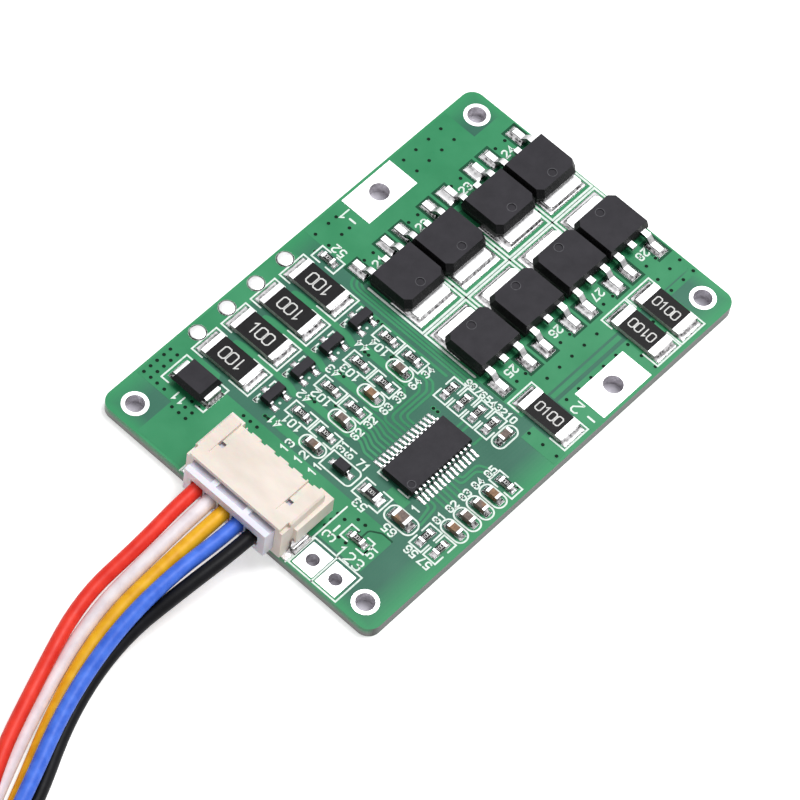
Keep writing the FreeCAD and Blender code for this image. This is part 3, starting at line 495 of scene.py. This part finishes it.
class Shape:
    """Faces gathered in millimetres, made into one object at the end."""

    def __init__(self):
        self.points = []
        self.faces = []

    def take(self, points, faces):
        """Add points, and faces that count from the first of them."""
        first = len(self.points)
        self.points += points
        self.faces += [[first + i for i in face] for face in faces]

    def prism(self, outline, low, high, tops=None):
        """Closed block on an outline of (x, y) points, given anticlockwise."""
        count = len(outline)
        points = [(x, y, low) for x, y in outline] + [(x, y, high) for x, y in outline]
        faces = []
        for top in tops or [list(range(count))]:
            faces.append(top[::-1])
            faces.append([count + i for i in top])
        for i in range(count):
            after = (i + 1) % count
            faces.append([i, after, count + after, count + i])
        self.take(points, faces)

    def block(self, x_low, x_high, y_low, y_high, low, high):
        """Closed block between two corners."""
        self.prism([(x_low, y_low), (x_high, y_low), (x_high, y_high), (x_low, y_high)], low, high)

    def disc(self, x, y, radius, low, high, sides=20):
        """Closed round disc."""
        self.prism(circle(x, y, radius, sides), low, high)

    def ring(self, x, y, inner, outer, low, high, sides=20):
        """Closed flat ring."""
        self.band(circle(x, y, inner, sides), circle(x, y, outer, sides), low, high)

    def stroke(self, line, width, low, high, closed=False):
        """Closed flat strip along a line, its corners mitred and its free ends round."""
        left, right = [], []
        count = len(line)
        half = width / 2
        for i, (x, y) in enumerate(line):
            before = line[i - 1] if i or closed else None
            after = line[(i + 1) % count] if i < count - 1 or closed else None
            arriving = direction(before, (x, y)) if before else direction((x, y), after)
            leaving = direction((x, y), after) if after else arriving
            side = Vector((-arriving.y - leaving.y, arriving.x + leaving.x))
            scale = half / max(1 + arriving.dot(leaving), 0.35)
            left.append((x + side.x * scale, y + side.y * scale))
            right.append((x - side.x * scale, y - side.y * scale))
        if closed:
            self.band(left, right, low, high)
            return
        start = round_end(line[0], direction(line[1], line[0]), half)
        end = round_end(line[-1], direction(line[-2], line[-1]), half)
        outline = start + right[1:-1] + end + left[1:-1][::-1]
        turn = len(start) + count - 2
        rights = list(range(len(start) - 1, turn + 1))
        lefts = [0] + list(range(len(outline) - 1, turn + len(end) - 2, -1))
        tops = [list(range(len(start))), list(range(turn, turn + len(end)))]
        for i in range(count - 1):
            tops.append([lefts[i], rights[i], rights[i + 1], lefts[i + 1]])
        self.prism(outline, low, high, tops)

    def band(self, inner, outer, low, high):
        """Closed strip between two loops of as many points each."""
        count = len(inner)
        points = []
        faces = []
        for a, b in zip(inner, outer):
            points += [(*a, low), (*b, low), (*b, high), (*a, high)]
        for i in range(count):
            after = (i + 1) % count
            for k in range(4):
                step = (k + 1) % 4
                faces.append([4 * i + k, 4 * after + k, 4 * after + step, 4 * i + step])
        self.take(points, faces)

    def field(self, rows, low):
        """Closed heap: a grid of top points over a flat underside."""
        across = len(rows[0])
        count = across * len(rows)
        flat = [point for row in rows for point in row]
        points = flat + [(x, y, low) for x, y, z in flat]
        faces = []
        for i in range(len(rows) - 1):
            for j in range(across - 1):
                a = i * across + j
                top = [a, a + 1, a + across + 1, a + across]
                faces += [top, [count + k for k in top[::-1]]]
        last = len(rows) - 1
        edge = list(range(across))
        edge += [i * across + across - 1 for i in range(1, last + 1)]
        edge += [last * across + j for j in range(across - 2, -1, -1)]
        edge += [i * across for i in range(last - 1, 0, -1)]
        for a, b in zip(edge, edge[1:] + edge[:1]):
            faces.append([b, a, count + a, count + b])
        self.take(points, faces)

    def make(self, name, material, smooth=False):
        """The gathered faces as an object that rides with the board."""
        mesh = bpy.data.meshes.new(name)
        mesh.from_pydata([Vector(point) * MM for point in self.points], [], self.faces)
        tidy = bmesh.new()
        tidy.from_mesh(mesh)
        bmesh.ops.recalc_face_normals(tidy, faces=tidy.faces)
        tidy.to_mesh(mesh)
        tidy.free()
        if smooth:
            mesh.shade_smooth()
        mesh.materials.append(material)
        piece = add_object(name, mesh)
        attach(piece, "root")


def direction(start, end):
    """Unit vector from one point towards another."""
    return (Vector(end) - Vector(start)).normalized()


def arc(x, y, radius, first, last, steps=6):
    """Points along an arc, its angles in degrees."""
    turns = [math.radians(first + (last - first) * i / steps) for i in range(steps + 1)]
    return [(x + radius * math.cos(t), y + radius * math.sin(t)) for t in turns]


def circle(x, y, radius, sides):
    """Points of a circle, anticlockwise."""
    return arc(x, y, radius, 0, 360, sides)[:-1]


def round_end(point, outward, radius):
    """Half circle about a stroke's end, anticlockwise from its right side."""
    first = math.degrees(math.atan2(outward.y, outward.x)) - 90
    return arc(*point, radius, first, first + 180, 4)


def softened(line, radius, steps=5):
    """A line with its corners rounded."""
    points = [line[0]]
    for before, corner, after in zip(line, line[1:], line[2:]):
        arriving = direction(before, corner)
        leaving = direction(corner, after)
        turn = arriving.angle(leaving)
        reach = min(radius * math.tan(turn / 2), (Vector(corner) - Vector(before)).length / 2,
                    (Vector(after) - Vector(corner)).length / 2)
        first = Vector(corner) - arriving * reach
        last = Vector(corner) + leaving * reach
        for i in range(steps + 1):
            share = i / steps
            arrived = first.lerp(Vector(corner), share)
            left = Vector(corner).lerp(last, share)
            points.append(tuple(arrived.lerp(left, share)))
    return points + [line[-1]]


def solids(node):
    """Lowest and highest corner of each separate solid in a CAD node, in millimetres."""
    mesh = bmesh.new()
    mesh.from_mesh(nodes[node].data)
    bmesh.ops.remove_doubles(mesh, verts=mesh.verts, dist=0.001 * MM)
    left = set(mesh.verts)
    boxes = []
    while left:
        waiting = [left.pop()]
        found = []
        while waiting:
            vertex = waiting.pop()
            found.append(vertex.co / MM)
            for edge in vertex.link_edges:
                other = edge.other_vert(vertex)
                if other in left:
                    left.remove(other)
                    waiting.append(other)
        low = Vector(min(point[i] for point in found) for i in range(3))
        high = Vector(max(point[i] for point in found) for i in range(3))
        boxes.append((low, high))
    mesh.free()
    boxes.sort(key=lambda box: tuple(round(value, 2) for value in box[0]))
    return boxes


def middle(box):
    """Point halfway between a box's corners."""
    return (box[0] + box[1]) / 2


def over(box, other):
    """Do two boxes overlap as seen from above?"""
    return all(box[0][i] < other[1][i] and other[0][i] < box[1][i] for i in (0, 1))


def write(shape, text, x, y, height, turn, low, high, width=print_width, spacing=0.92, squeeze=1.0):
    """Plain digits centred on x, y and turned by an angle in degrees."""
    advance = height * spacing * squeeze
    total = advance * (len(text) - 1) + 0.6 * height * squeeze
    around = math.radians(turn)
    for place, letter in enumerate(text):
        for strokes in digit_strokes[letter]:
            line = []
            for u, v in strokes:
                along = place * advance + u * height * squeeze - total / 2
                up = (v - 0.5) * height
                line.append((x + along * math.cos(around) - up * math.sin(around),
                             y + along * math.sin(around) + up * math.cos(around)))
            shape.stroke(line, width, low, high, closed=letter == "0")


def coil_line(angle):
    """Centre and radius of the coil's winding at an angle along it, and the length so far."""
    step = (coil_outer_radius - coil_inner_radius) / 2
    middle_radius = coil_outer_radius - step
    inward_end = coil_inward_angle + 180
    around = math.radians(coil_entry_angle + coil_inward_angle)
    shifted = (coil_centre[0] + step * math.cos(around), coil_centre[1] + step * math.sin(around))
    first = math.radians(min(angle, coil_inward_angle)) * coil_outer_radius
    if angle <= coil_inward_angle:
        return coil_centre, coil_outer_radius, first
    second = math.radians(min(angle, inward_end) - coil_inward_angle) * middle_radius
    if angle <= inward_end:
        return shifted, middle_radius, first + second
    third = math.radians(angle - inward_end) * coil_inner_radius
    return coil_centre, coil_inner_radius, first + second + third


def coil_point(angle, place):
    """Where a wire of the twist lies at an angle along the winding."""
    centre, radius, length = coil_line(angle)
    twist = math.radians(place + 360 * twist_turns * length / coil_line(coil_total_angle)[2])
    around = math.radians(coil_entry_angle + angle)
    reach = radius + twist_radius * math.cos(twist)
    height = bundle_radius + twist_radius * math.sin(twist)
    return Vector((centre[0] + reach * math.cos(around), centre[1] + reach * math.sin(around), height))


def wire_points(colour, y):
    """Route of one wire, from its crimp in the plug to the end of the coil."""
    start = Vector((wire_start[0], y, wire_start[1]))
    around = math.radians(coil_entry_angle)
    heading = Vector((-math.sin(around), math.cos(around), 0))
    entry = coil_point(0, twist_places[colour])
    end = entry - heading * coil_entry_length
    points = [start, start - Vector((wire_straight, 0, 0))]
    points += [Vector(point) for point in wire_routes[colour]]
    points += [end - heading * coil_entry_run, end]
    for i in range(1, coil_total_angle // coil_step + 1):
        points.append(coil_point(i * coil_step, twist_places[colour]))
    points.append(coil_point(coil_total_angle, twist_places[colour]))
    return points


def make_wire(colour, y, finish):
    """One wire as a smooth curve."""
    points = wire_points(colour, y)
    curve = bpy.data.curves.new("cord_" + colour, "CURVE")
    curve.dimensions = "3D"
    spline = curve.splines.new("NURBS")
    spline.points.add(len(points) - 1)
    for target, point in zip(spline.points, points):
        target.co = (*(point * MM), 1)
    spline.order_u = 3
    spline.use_endpoint_u = True
    curve.resolution_u = 6
    curve.bevel_depth = wire_radius * MM
    curve.bevel_resolution = 5
    curve.use_fill_caps = True
    curve.materials.append(finish)
    piece = add_object("cord_" + colour, curve)
    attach(piece, "root")
    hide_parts("wire_" + colour, "wire_coil")


def make_wires():
    """Five silicone wires, side by side in the plug and twisted where they are coiled."""
    tones = {"red": ((230, 42, 28), (246, 60, 42)),
             "white": ((230, 218, 224), (246, 238, 242)),
             "yellow": ((230, 164, 14), (252, 192, 34)),
             "blue": ((50, 98, 214), (80, 128, 242)),
             "black": ((8, 8, 11), (18, 18, 22))}
    for i, colour in enumerate(wire_routes):
        dark, light = tones[colour]
        finish = wire_finish(colour + "_silicone", dark, light, 0.12 if colour == "black" else 0.3)
        make_wire(colour, pin_pitch * (2 - i), finish)


def controller_pin(number):
    """Place along X of one column of the control chip's pins."""
    return controller_centre[0] + controller_pitch * (number - controller_middle_pin)


def copper_traces():
    """Traces under the lacquer, each with the radius of its bends and its width."""
    traces = []
    for x in channel_x[:3]:
        line = [(x + 2.1, 14.8), (x + 2.35, 14.0), (x + 2.35, 7.2), (x + 1.9, 5.9)]
        traces.append((line, 0.8, 0.8))
        traces.append(([(x + 2.5, 4.5), (x + 2.5, -1.6)], 0, wide_trace))
    traces.append(([(-18.3, 5.4), (-18.3, 1.5)], 0, wide_trace))
    for number in range(7):
        x = controller_pin(number)
        far = x + 0.5 - 0.06 * (number - 3)
        line = [(x, -5.6), (x, -4.4), (far, -3.2), (far, -0.5)]
        traces.append((line, 0.8, fine_trace))
    for number, level, far in ((7, -2.75, -6.0), (8, -3.3, -4.2), (9, -3.85, -3.6), (10, -4.4, -3.2)):
        x = controller_pin(number)
        line = [(x, -5.6), (x, level), (far, level), (far + 1.0, level + 0.9), (far + 1.0, level + 2.4)]
        traces.append((line, 0.9, fine_trace))
    for number in range(2, 7):
        x = controller_pin(number)
        traces.append(([(x, -13.3), (x - 0.1, -15.2)], 0, fine_trace))
    for number, level in ((0, -13.9), (1, -14.4)):
        x = controller_pin(number)
        line = [(x, -13.2), (x, level), (-16.0 - 0.4 * number, level - 0.35)]
        traces.append((line, 0.7, fine_trace))
    for number, level in ((7, -14.4), (8, -13.95)):
        x = controller_pin(number)
        far = -7.2 + 0.7 * (number - 7)
        line = [(x, -13.2), (x, level), (far, level), (far + 0.6, -15.2)]
        traces.append((line, 0.7, fine_trace))
    for y in (-9.2, -9.95, -11.95):
        traces.append(([(-4.9, y), (-3.4, y)], 0, fine_trace))
    for i in range(3):
        x = 0.2 + 0.45 * i
        line = [(x, -6.2 - 0.4 * i), (x, 11.5 - 0.5 * i), (2.6, 11.9 - 0.5 * i)]
        traces.append((line, 1.6, fine_trace))
    traces.append(([(-1.2, 17.5), (-0.6, 16.5), (-0.6, -4.0)], 0.8, 0.35))
    return traces


def make_copper():
    """Copper areas, traces and vias, all under the green lacquer."""
    lacquer = pour_finish()
    copper = Shape()
    for outline in copper_areas:
        copper.prism(outline, copper_bottom, pour_top)
    for sides in copper_blocks:
        copper.block(*sides, copper_bottom, pour_top)
    for line, bend, width in copper_traces():
        copper.stroke(softened(line, bend), width, copper_bottom, pour_top)
    copper.make("lacquered_copper", lacquer)
    gaps = Shape()
    gaps.stroke(softened(copper_gap, 0.6), copper_gap_width, board_top, gap_top)
    # Moats round the power leads' lands: clearance gaps, widened and darkened as painted shadow beside
    # the lands
    for low, high in solids("solder_lands"):
        length, width = moat_land
        lead = abs(high.x - low.x - length) < 0.02 and abs(high.y - low.y - width) < 0.02
        if lead and middle((low, high)).x > power_side:
            gaps.block(low.x - moat_with_shadow, high.x + moat_with_shadow, low.y - moat_with_shadow, high.y + moat_with_shadow, board_top, gap_top)
    gaps.make("gap_and_shadow_lacquers", gap_finish())
    via_shade_discs = Shape()
    rims = Shape()
    # Each via: a dark disc of painted shade for its hole, and a lacquered rim
    for levels, places in via_groups:
        for x, y in itertools.product(places, levels):
            via_shade_discs.disc(x, y, via_radius, board_top, via_shade_top, 12)
            rims.ring(x, y, via_radius, via_radius + via_rim, board_top, rim_top, 12)
    via_shade_discs.make("painted_via_shades", hole_finish())
    rims.make("via_rims", lacquer)


def bracket(ink, x_low, x_high, y_low, y_high, gap_low=None, gap_high=None):
    """Printed frame, with a gap in both upright sides where one is given."""
    if gap_low is None:
        ink_line(ink, [(x_low, y_low), (x_high, y_low), (x_high, y_high), (x_low, y_high)], True)
        return
    for y, gap in ((y_low, gap_low), (y_high, gap_high)):
        ink_line(ink, [(x_low, gap), (x_low, y), (x_high, y), (x_high, gap)])


def flat_bracket(ink, x_low, x_high, y_low, y_high, gap_low, gap_high):
    """Printed frame with a gap in its top and bottom sides."""
    for x, gap in ((x_low, gap_low), (x_high, gap_high)):
        ink_line(ink, [(gap, y_low), (x, y_low), (x, y_high), (gap, y_high)])


def capsule(ink, x, y, width, length, corner, upright=True):
    """Printed outline with round corners."""
    if not upright:
        width, length = length, width
    a, b = width / 2 - corner, length / 2 - corner
    line = arc(x + a, y + b, corner, 0, 90) + arc(x - a, y + b, corner, 90, 180)
    line += arc(x - a, y - b, corner, 180, 270) + arc(x + a, y - b, corner, 270, 360)
    ink_line(ink, line, True)


def ink_line(ink, line, closed=False, width=print_width):
    """Printed line on the board."""
    ink.stroke(line, width, board_top, print_top, closed)


def print_frames(ink):
    """Frames printed round the parts."""
    for x in channel_x:
        bracket(ink, x - large_frame, x + large_frame, 9.25, 17.65, 12.0, 16.1)
        bracket(ink, x - 1.82, x - 1.35, 8.2, 8.45)
        ink_line(ink, [(x - 1.75, 8.0), (x - 1.75, 8.5), (x - 0.75, 8.5)])
        ink_line(ink, [(x + 1.55, 8.0), (x + 1.55, 8.5), (x + 0.75, 8.5)])
        ink.disc(x - 0.05, 6.2, 0.17, board_top, print_top, 12)
        bracket(ink, x - 0.33, x + 1.5, 1.91, 5.21, 3.1, 4.1)
        bracket(ink, x - 0.33, x + 1.5, -1.64, 1.64, -0.5, 0.5)
        capsule(ink, x - 1.45, 0.0, 1.75, 3.3, frame_corner)
    x = left_column_x
    capsule(ink, x, -12.9, 2.2, 4.0, 0.85)
    bracket(ink, x - 1.2, x + 1.2, -10.5, -6.72, -9.2, -8.0)
    line = arc(x - 0.6, -5.6, 0.6, 180, 270) + arc(x + 0.6, -5.6, 0.6, 270, 360)
    ink_line(ink, line + [(x + 1.2, -1.92), (x - 1.2, -1.92)], True)
    for y in (-16.15, -18.2):
        flat_bracket(ink, -18.85, -15.5, y - chip_frame, y + chip_frame, -17.6, -16.8)
    for x in bottom_row_x[:4]:
        capsule(ink, x, -17.77, 1.75, 3.3, frame_corner)
    x = bottom_row_x[4]
    bracket(ink, x - chip_frame, x + chip_frame, -19.4, -16.1, -18.3, -17.3)
    for y in right_column_y[:4]:
        flat_bracket(ink, -3.45, -0.08, y - chip_frame, y + chip_frame, -2.2, -1.4)
    capsule(ink, -1.76, right_column_y[4], 1.7, 3.37, frame_corner, False)
    bracket(ink, -23.0, -19.05, 11.15, 17.45, 12.3, 16.4)
    bracket(ink, -23.47, -21.6, -12.9, -9.55, -11.9, -10.6)
    bracket(ink, 0.13, 1.97, 13.6, 16.95, 14.8, 15.7)
    bracket(ink, -29.75, -25.62, -14.75, -7.92)
    ink_line(ink, [(-29.75, -11.25), (-25.62, -11.25)])
    ink_line(ink, [(-20.4, -7.72), (-30.0, -7.72)])
    ink_line(ink, [(-21.0, 7.85), (-30.0, 7.85)])
    for x in transistor_x:
        for far, near in ((9.6, 1.5), (-6.3, 1.14)):
            ink_line(ink, [(x - 3.34, far), (x - 3.34, near), (x + 3.34, near), (x + 3.34, far)],
                     width=bold_width)
    for x in shunt_x:
        bracket(ink, x - large_frame, x + large_frame, -19.35, -11.05, -17.2, -12.6)
    for x, y, across, along in ((-14.9, -7.1, 0.6, -1.4), (-14.9, -11.5, 0.6, 1.4)):
        ink_line(ink, [(x + across, y), (x, y), (x, y + along)])


def print_digits(ink):
    """Plain numbers beside the parts, each with its place, height and turn, and three dashes."""
    marks = []
    for i, x in enumerate(channel_x):
        marks.append((41 + i, x - 2.15, 5.0, plain_digit, 90))
        marks.append((101 + i, x - 0.95, 3.55, plain_digit, 90))
        if i:
            marks.append((61 + i, x - 1.5, -2.3, small_digit, 0))
            marks.append((31 + i, x + 0.6, -2.3, small_digit, 0))
    marks += [(31, -15.25, -2.3, small_digit, 0), (61, -15.25, -3.5, small_digit, 0)]
    for i, x in enumerate((4.95, 12.0, 19.15, 26.35)):
        marks.append((21 + i, x, 11.15, plain_digit, 0))
    for i, x in enumerate((5.0, 12.35, 19.3, 26.95)):
        marks.append((25 + i, x, -8.55, plain_digit, 180))
    for i in range(3):
        marks.append((13 - i, -19.5, 2.0 - 2.05 * i, plain_digit, 0))
    for i, x in enumerate(bottom_row_x):
        marks.append((81 + i, x, -15.55, small_digit, 0))
    marks += [(11, -23.6, 14.25, 1.0, 90), (1, 6.85, 18.2, 1.45, 90), (2, 6.7, -16.7, 1.45, 90),
              (3, -24.4, -8.8, 1.4, 0), (123, -24.8, -12.2, 1.3, -90), (51, -22.6, -13.35, 0.9, 0),
              (52, 2.75, 15.2, 1.0, 90), (71, -15.45, -5.4, 0.9, -90),
              (53, -19.3, -8.5, plain_digit, 90), (65, -19.3, -12.8, plain_digit, 90),
              (1, -15.35, -13.05, plain_digit, 0), (56, -19.55, -16.2, 0.9, 90),
              (57, -19.55, -18.2, 0.9, 90), (9876543210, 0.5, -9.6, 0.8, -90)]
    for number, x, y, height, turn in marks:
        write(ink, str(number), x, y, height, turn, board_top, print_top)
    for line in ([(6.75, 16.5), (6.75, 17.3)], [(6.7, -18.3), (6.7, -19.2)],
                 [(-23.6, -8.75), (-22.7, -8.75)]):
        ink_line(ink, line, width=dash_width)


def make_print():
    """White printing on the board."""
    ink = Shape()
    print_frames(ink)
    print_digits(ink)
    ink.make("board_printing", print_finish())


def outside(x, y, box):
    """How far a point is from a box, as seen from above."""
    across = max(box[0].x - x, x - box[1].x, 0)
    along = max(box[0].y - y, y - box[1].y, 0)
    return math.hypot(across, along)


def wet(shape, land, metals, climb, bend):
    """Solder on a land: it climbs the metal that stands there and thins out to the land's edge.
    A larger bend keeps the climb closer to the metal.
    """
    low, high = land
    columns = min(most_cells, max(fewest_cells, round((high.x - low.x) / solder_cell)))
    lines = min(most_cells, max(fewest_cells, round((high.y - low.y) / solder_cell)))
    rows = []
    for i in range(lines + 1):
        row = []
        y = low.y + solder_inset + (high.y - low.y - 2 * solder_inset) * i / lines
        for j in range(columns + 1):
            x = low.x + solder_inset + (high.x - low.x - 2 * solder_inset) * j / columns
            rim = min(x - low.x, high.x - x, y - low.y, high.y - y) - solder_inset
            share = max(rim / (rim + outside(x, y, metal) + 0.001) for metal in metals)
            row.append((x, y, seat + solder_inset + climb * max(share, 0) ** bend))
        rows.append(row)
    shape.field(rows, seat - solder_inset)


def make_solder():
    """Solder at every joint, higher where the metal is higher, and a dome on each test land."""
    solder = Shape()
    groups = [("chip_resistor_ends", 0.36), ("chip_capacitor_ends", 0.6)]
    groups += [("balance_resistor_%d_ends" % (i + 1), 0.5) for i in range(4)]
    groups += [("sense_resistor_%d_ends" % (i + 1), 0.5) for i in range(3)]
    groups += [("power_transistor_%d_leads" % (i + 1), 0.38) for i in range(8)]
    groups += [("channel_transistor_leads", 0.16), ("switching_diode_leads", 0.16),
               ("controller_pins", 0.11), ("clamp_diode_leads", 0.5), ("header_tabs", 0.6),
               ("header_pins", 0.35)]
    metals = []
    for node, climb in groups:
        metals += [(box, climb) for box in solids(node) if box[0].z < seat + 0.05]
    for land in solids("solder_lands"):
        found = [(box, climb) for box, climb in metals if over(box, land)]
        if found:
            height = found[0][1] * chance.uniform(0.8, 1.1)
            bend = tab_bend if land[1].x - land[0].x > tab_land else lead_bend
            wet(solder, land, [box for box, climb in found], height, bend)
        elif land[0].y > test_land_y:
            x, y = middle(land).xy
            dome(solder, x, y, (land[1].x - land[0].x) / 2 - solder_inset, dome_height)
    finish = metal_finish("solder", 242, 215, 30, 0.26, 0.03, 0.78, 0.98)
    solder.make("solder_joints", finish, True)


def dome(shape, x, y, radius, height, rings=5, sides=28):
    """Low round dome of solder."""
    points = [(x, y, seat + solder_inset + height)]
    faces = []
    for i in range(1, rings + 1):
        share = i / rings
        for k in range(sides):
            turn = 2 * math.pi * k / sides
            z = seat + solder_inset + height * (1 - share ** 3)
            points.append((x + radius * share * math.cos(turn), y + radius * share * math.sin(turn), z))
    for k in range(sides):
        faces.append([0, 1 + k, 1 + (k + 1) % sides])
    for i in range(rings - 1):
        for k in range(sides):
            a = 1 + i * sides + k
            b = 1 + i * sides + (k + 1) % sides
            faces.append([a, a + sides, b + sides, b])
    faces.append([1 + (rings - 1) * sides + k for k in range(sides)])
    shape.take(points, faces)


def make_chip_marks():
    """Plain numbers on the resistors, two of them turned the other way round."""
    ink = Shape()
    marks = []
    for i in range(4):
        box = [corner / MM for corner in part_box("balance_resistor_%d_body" % (i + 1))]
        marks.append((box, "100", 1.55, -90 if i == 1 else 90, mark_height, 0.17, 0.68))
    for i in range(3):
        box = [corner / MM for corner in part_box("sense_resistor_%d_body" % (i + 1))]
        marks.append((box, "0100", 1.2, 90 if i == 1 else -90, mark_height, 0.15, 0.74))
    for box in solids("chip_resistor_bodies"):
        across, along = (box[1] - box[0]).xy
        turn = 90 if along > across else 0
        marks.append((box, "100", 0.42, turn, small_mark_height, 0.06, 0.75))
    for box, digits, height, turn, rise, width, spacing in marks:
        x, y, top = middle(box).x, middle(box).y, box[1].z
        write(ink, digits, x, y, height, turn, top - mark_sink, top + rise, width, spacing)
    finish = Finish("marking_ink", (226, 226, 224), 0.6)
    finish.paint(finish.tones(0.2, 3, (196, 196, 194), (238, 238, 236)))
    ink.make("chip_marks", finish.material)


def make_moulding_marks():
    """Lighter rings on the rims of the round marks in the moulded bodies, a painted highlight."""
    rims = Shape()
    bodies = ["power_transistor_%d_body" % (i + 1) for i in range(8)]
    for node in bodies + ["controller_body"]:
        x, y, radius, top = round_mark(node)
        rims.ring(x, y, radius - 0.06, radius + 0.04, top - mark_sink, top + highlight_rim_height, 28)
    finish = Finish("moulding_mark_highlight", (70, 69, 74), 0.5, 0.25)
    finish.paint(finish.tones(0.3, 3, (50, 49, 54), (84, 83, 88)))
    rims.make("moulding_mark_highlights", finish.material)


def round_mark(node):
    """Middle and radius of the sunk round mark in a body's top, and that top's height."""
    points = [vertex.co / MM for vertex in nodes[node].data.vertices]
    top = max(point.z for point in points)
    floor = [point for point in points if top - 0.11 < point.z < top - 0.05]
    low = Vector(min(point[i] for point in floor) for i in range(2))
    high = Vector(max(point[i] for point in floor) for i in range(2))
    x, y = (low + high) / 2
    return x, y, (high.x - low.x) / 2, top


def dress_nodes():
    """Materials for the CAD nodes that stay in view."""
    # Each metal's shade and dark tones paint its steep faces with reflection of darker surroundings
    tinned = metal_finish("tinned_land", 247, 150, 120, 0.36, 0.006)
    plated = metal_finish("plated_hole", 250, 238, 205, 0.34, 0.006)
    lead = metal_finish("tinned_lead", 230, 182, 70, 0.34, 0.006)
    pin = metal_finish("fine_pin", 246, 220, 165, 0.3, 0.004)
    contact = metal_finish("contact_tin", 200, 140, 100, 0.3, 0.01)
    beige = nylon_finish("beige_nylon", (228, 215, 203), (242, 231, 221), 0.45, 0.5)
    white = nylon_finish("white_nylon", (232, 229, 242), (246, 243, 253), 0.4, 1.2, 6.3)
    own = {"board": board_finish(), "solder_lands": tinned, "plated_holes": plated,
           "controller_pins": pin, "header_housing": beige, "plug_housing": white,
           "plug_contacts": contact, "header_pins": contact, "header_tabs": contact,
           "wire_tips": contact}
    shared = {"_ends": lead, "_leads": lead, "capacitor": capacitor_finish(),
              "resistor": resistor_finish(), "_body": moulding_finish()}
    for name, node in nodes.items():
        finishes = [finish for word, finish in shared.items() if word in name]
        if name in own or finishes:
            node.data.materials.clear()
            node.data.materials.append(own.get(name) or finishes[0])


def make_sheet(name, across, along, level, material):
    """Flat staged sheet, its sizes in millimetres from its middle."""
    mesh = bpy.data.meshes.new(name)
    corners = [(-across, -along), (across, -along), (across, along), (-across, along)]
    mesh.from_pydata([(x * MM, y * MM, level * MM) for x, y in corners], [], [[0, 1, 2, 3]])
    mesh.materials.append(material)
    add_object(name, mesh)


def make_floor():
    """Pale seamless floor, white to the camera, and a grey card of painted shade under the board."""
    finish = Finish("floor_paper", (252, 252, 252), 0.9, 0.1)
    finish.paint(finish.tones(40, 3, (250, 250, 250), (254, 254, 254)))
    glow = finish.add("Math", {0: direct_view(finish.tree), 1: floor_glow}, operation="MULTIPLY")
    feed(finish.shader, {"Emission Strength": glow.outputs["Value"], "Emission Color": (1, 1, 1, 1)})
    make_sheet("floor", floor_half, floor_half, floor_level, finish.material)
    shade_card = Finish("shade_card", (190, 187, 196), 0.8, 0.2)
    shade_card.paint(shade_card.tones(1.5, 3, (168, 166, 176), (206, 202, 212)))
    make_sheet("shade_card", half_length - shade_card_inset, half_width - shade_card_inset, shade_card_level, shade_card.material)


def direct_view(tree):
    """1 for rays from the camera, or by way of a mirror or glass, and 0 for the light itself."""
    path = add_node(tree, "LightPath", {})
    seen = path.outputs["Is Camera Ray"]
    for ray in ("Is Glossy Ray", "Is Transmission Ray"):
        either = add_node(tree, "Math", {0: seen, 1: path.outputs[ray]}, operation="MAXIMUM")
        seen = either.outputs["Value"]
    return seen


def make_world():
    """Soft even light, white where the camera or a reflection sees it."""
    world = bpy.data.worlds.new("studio")
    bpy.context.scene.world = world
    world.use_nodes = True
    tree = world.node_tree
    inputs = {"To Min": ambient, "To Max": 1.0, "Value": direct_view(tree)}
    strength = add_node(tree, "MapRange", inputs).outputs["Result"]
    feed(tree.nodes["Background"], {"Color": (1, 1, 1, 1), "Strength": strength})


def make_lamp():
    """Large soft lamp, aimed at the middle of the board."""
    data = bpy.data.lights.new("key", "AREA")
    data.shape = "SQUARE"
    data.size = lamp_size
    data.energy = lamp_power
    lamp = add_object("key", data)
    lamp.location = lamp_place
    lamp.rotation_euler = (-Vector(lamp_place)).to_track_quat("-Z", "Y").to_euler()


make_camera()
make_wires()
dress_nodes()
make_copper()
make_print()
make_solder()
make_chip_marks()
make_moulding_marks()
make_floor()
make_world()
make_lamp()

bpy.context.scene.view_settings.view_transform = "Standard"
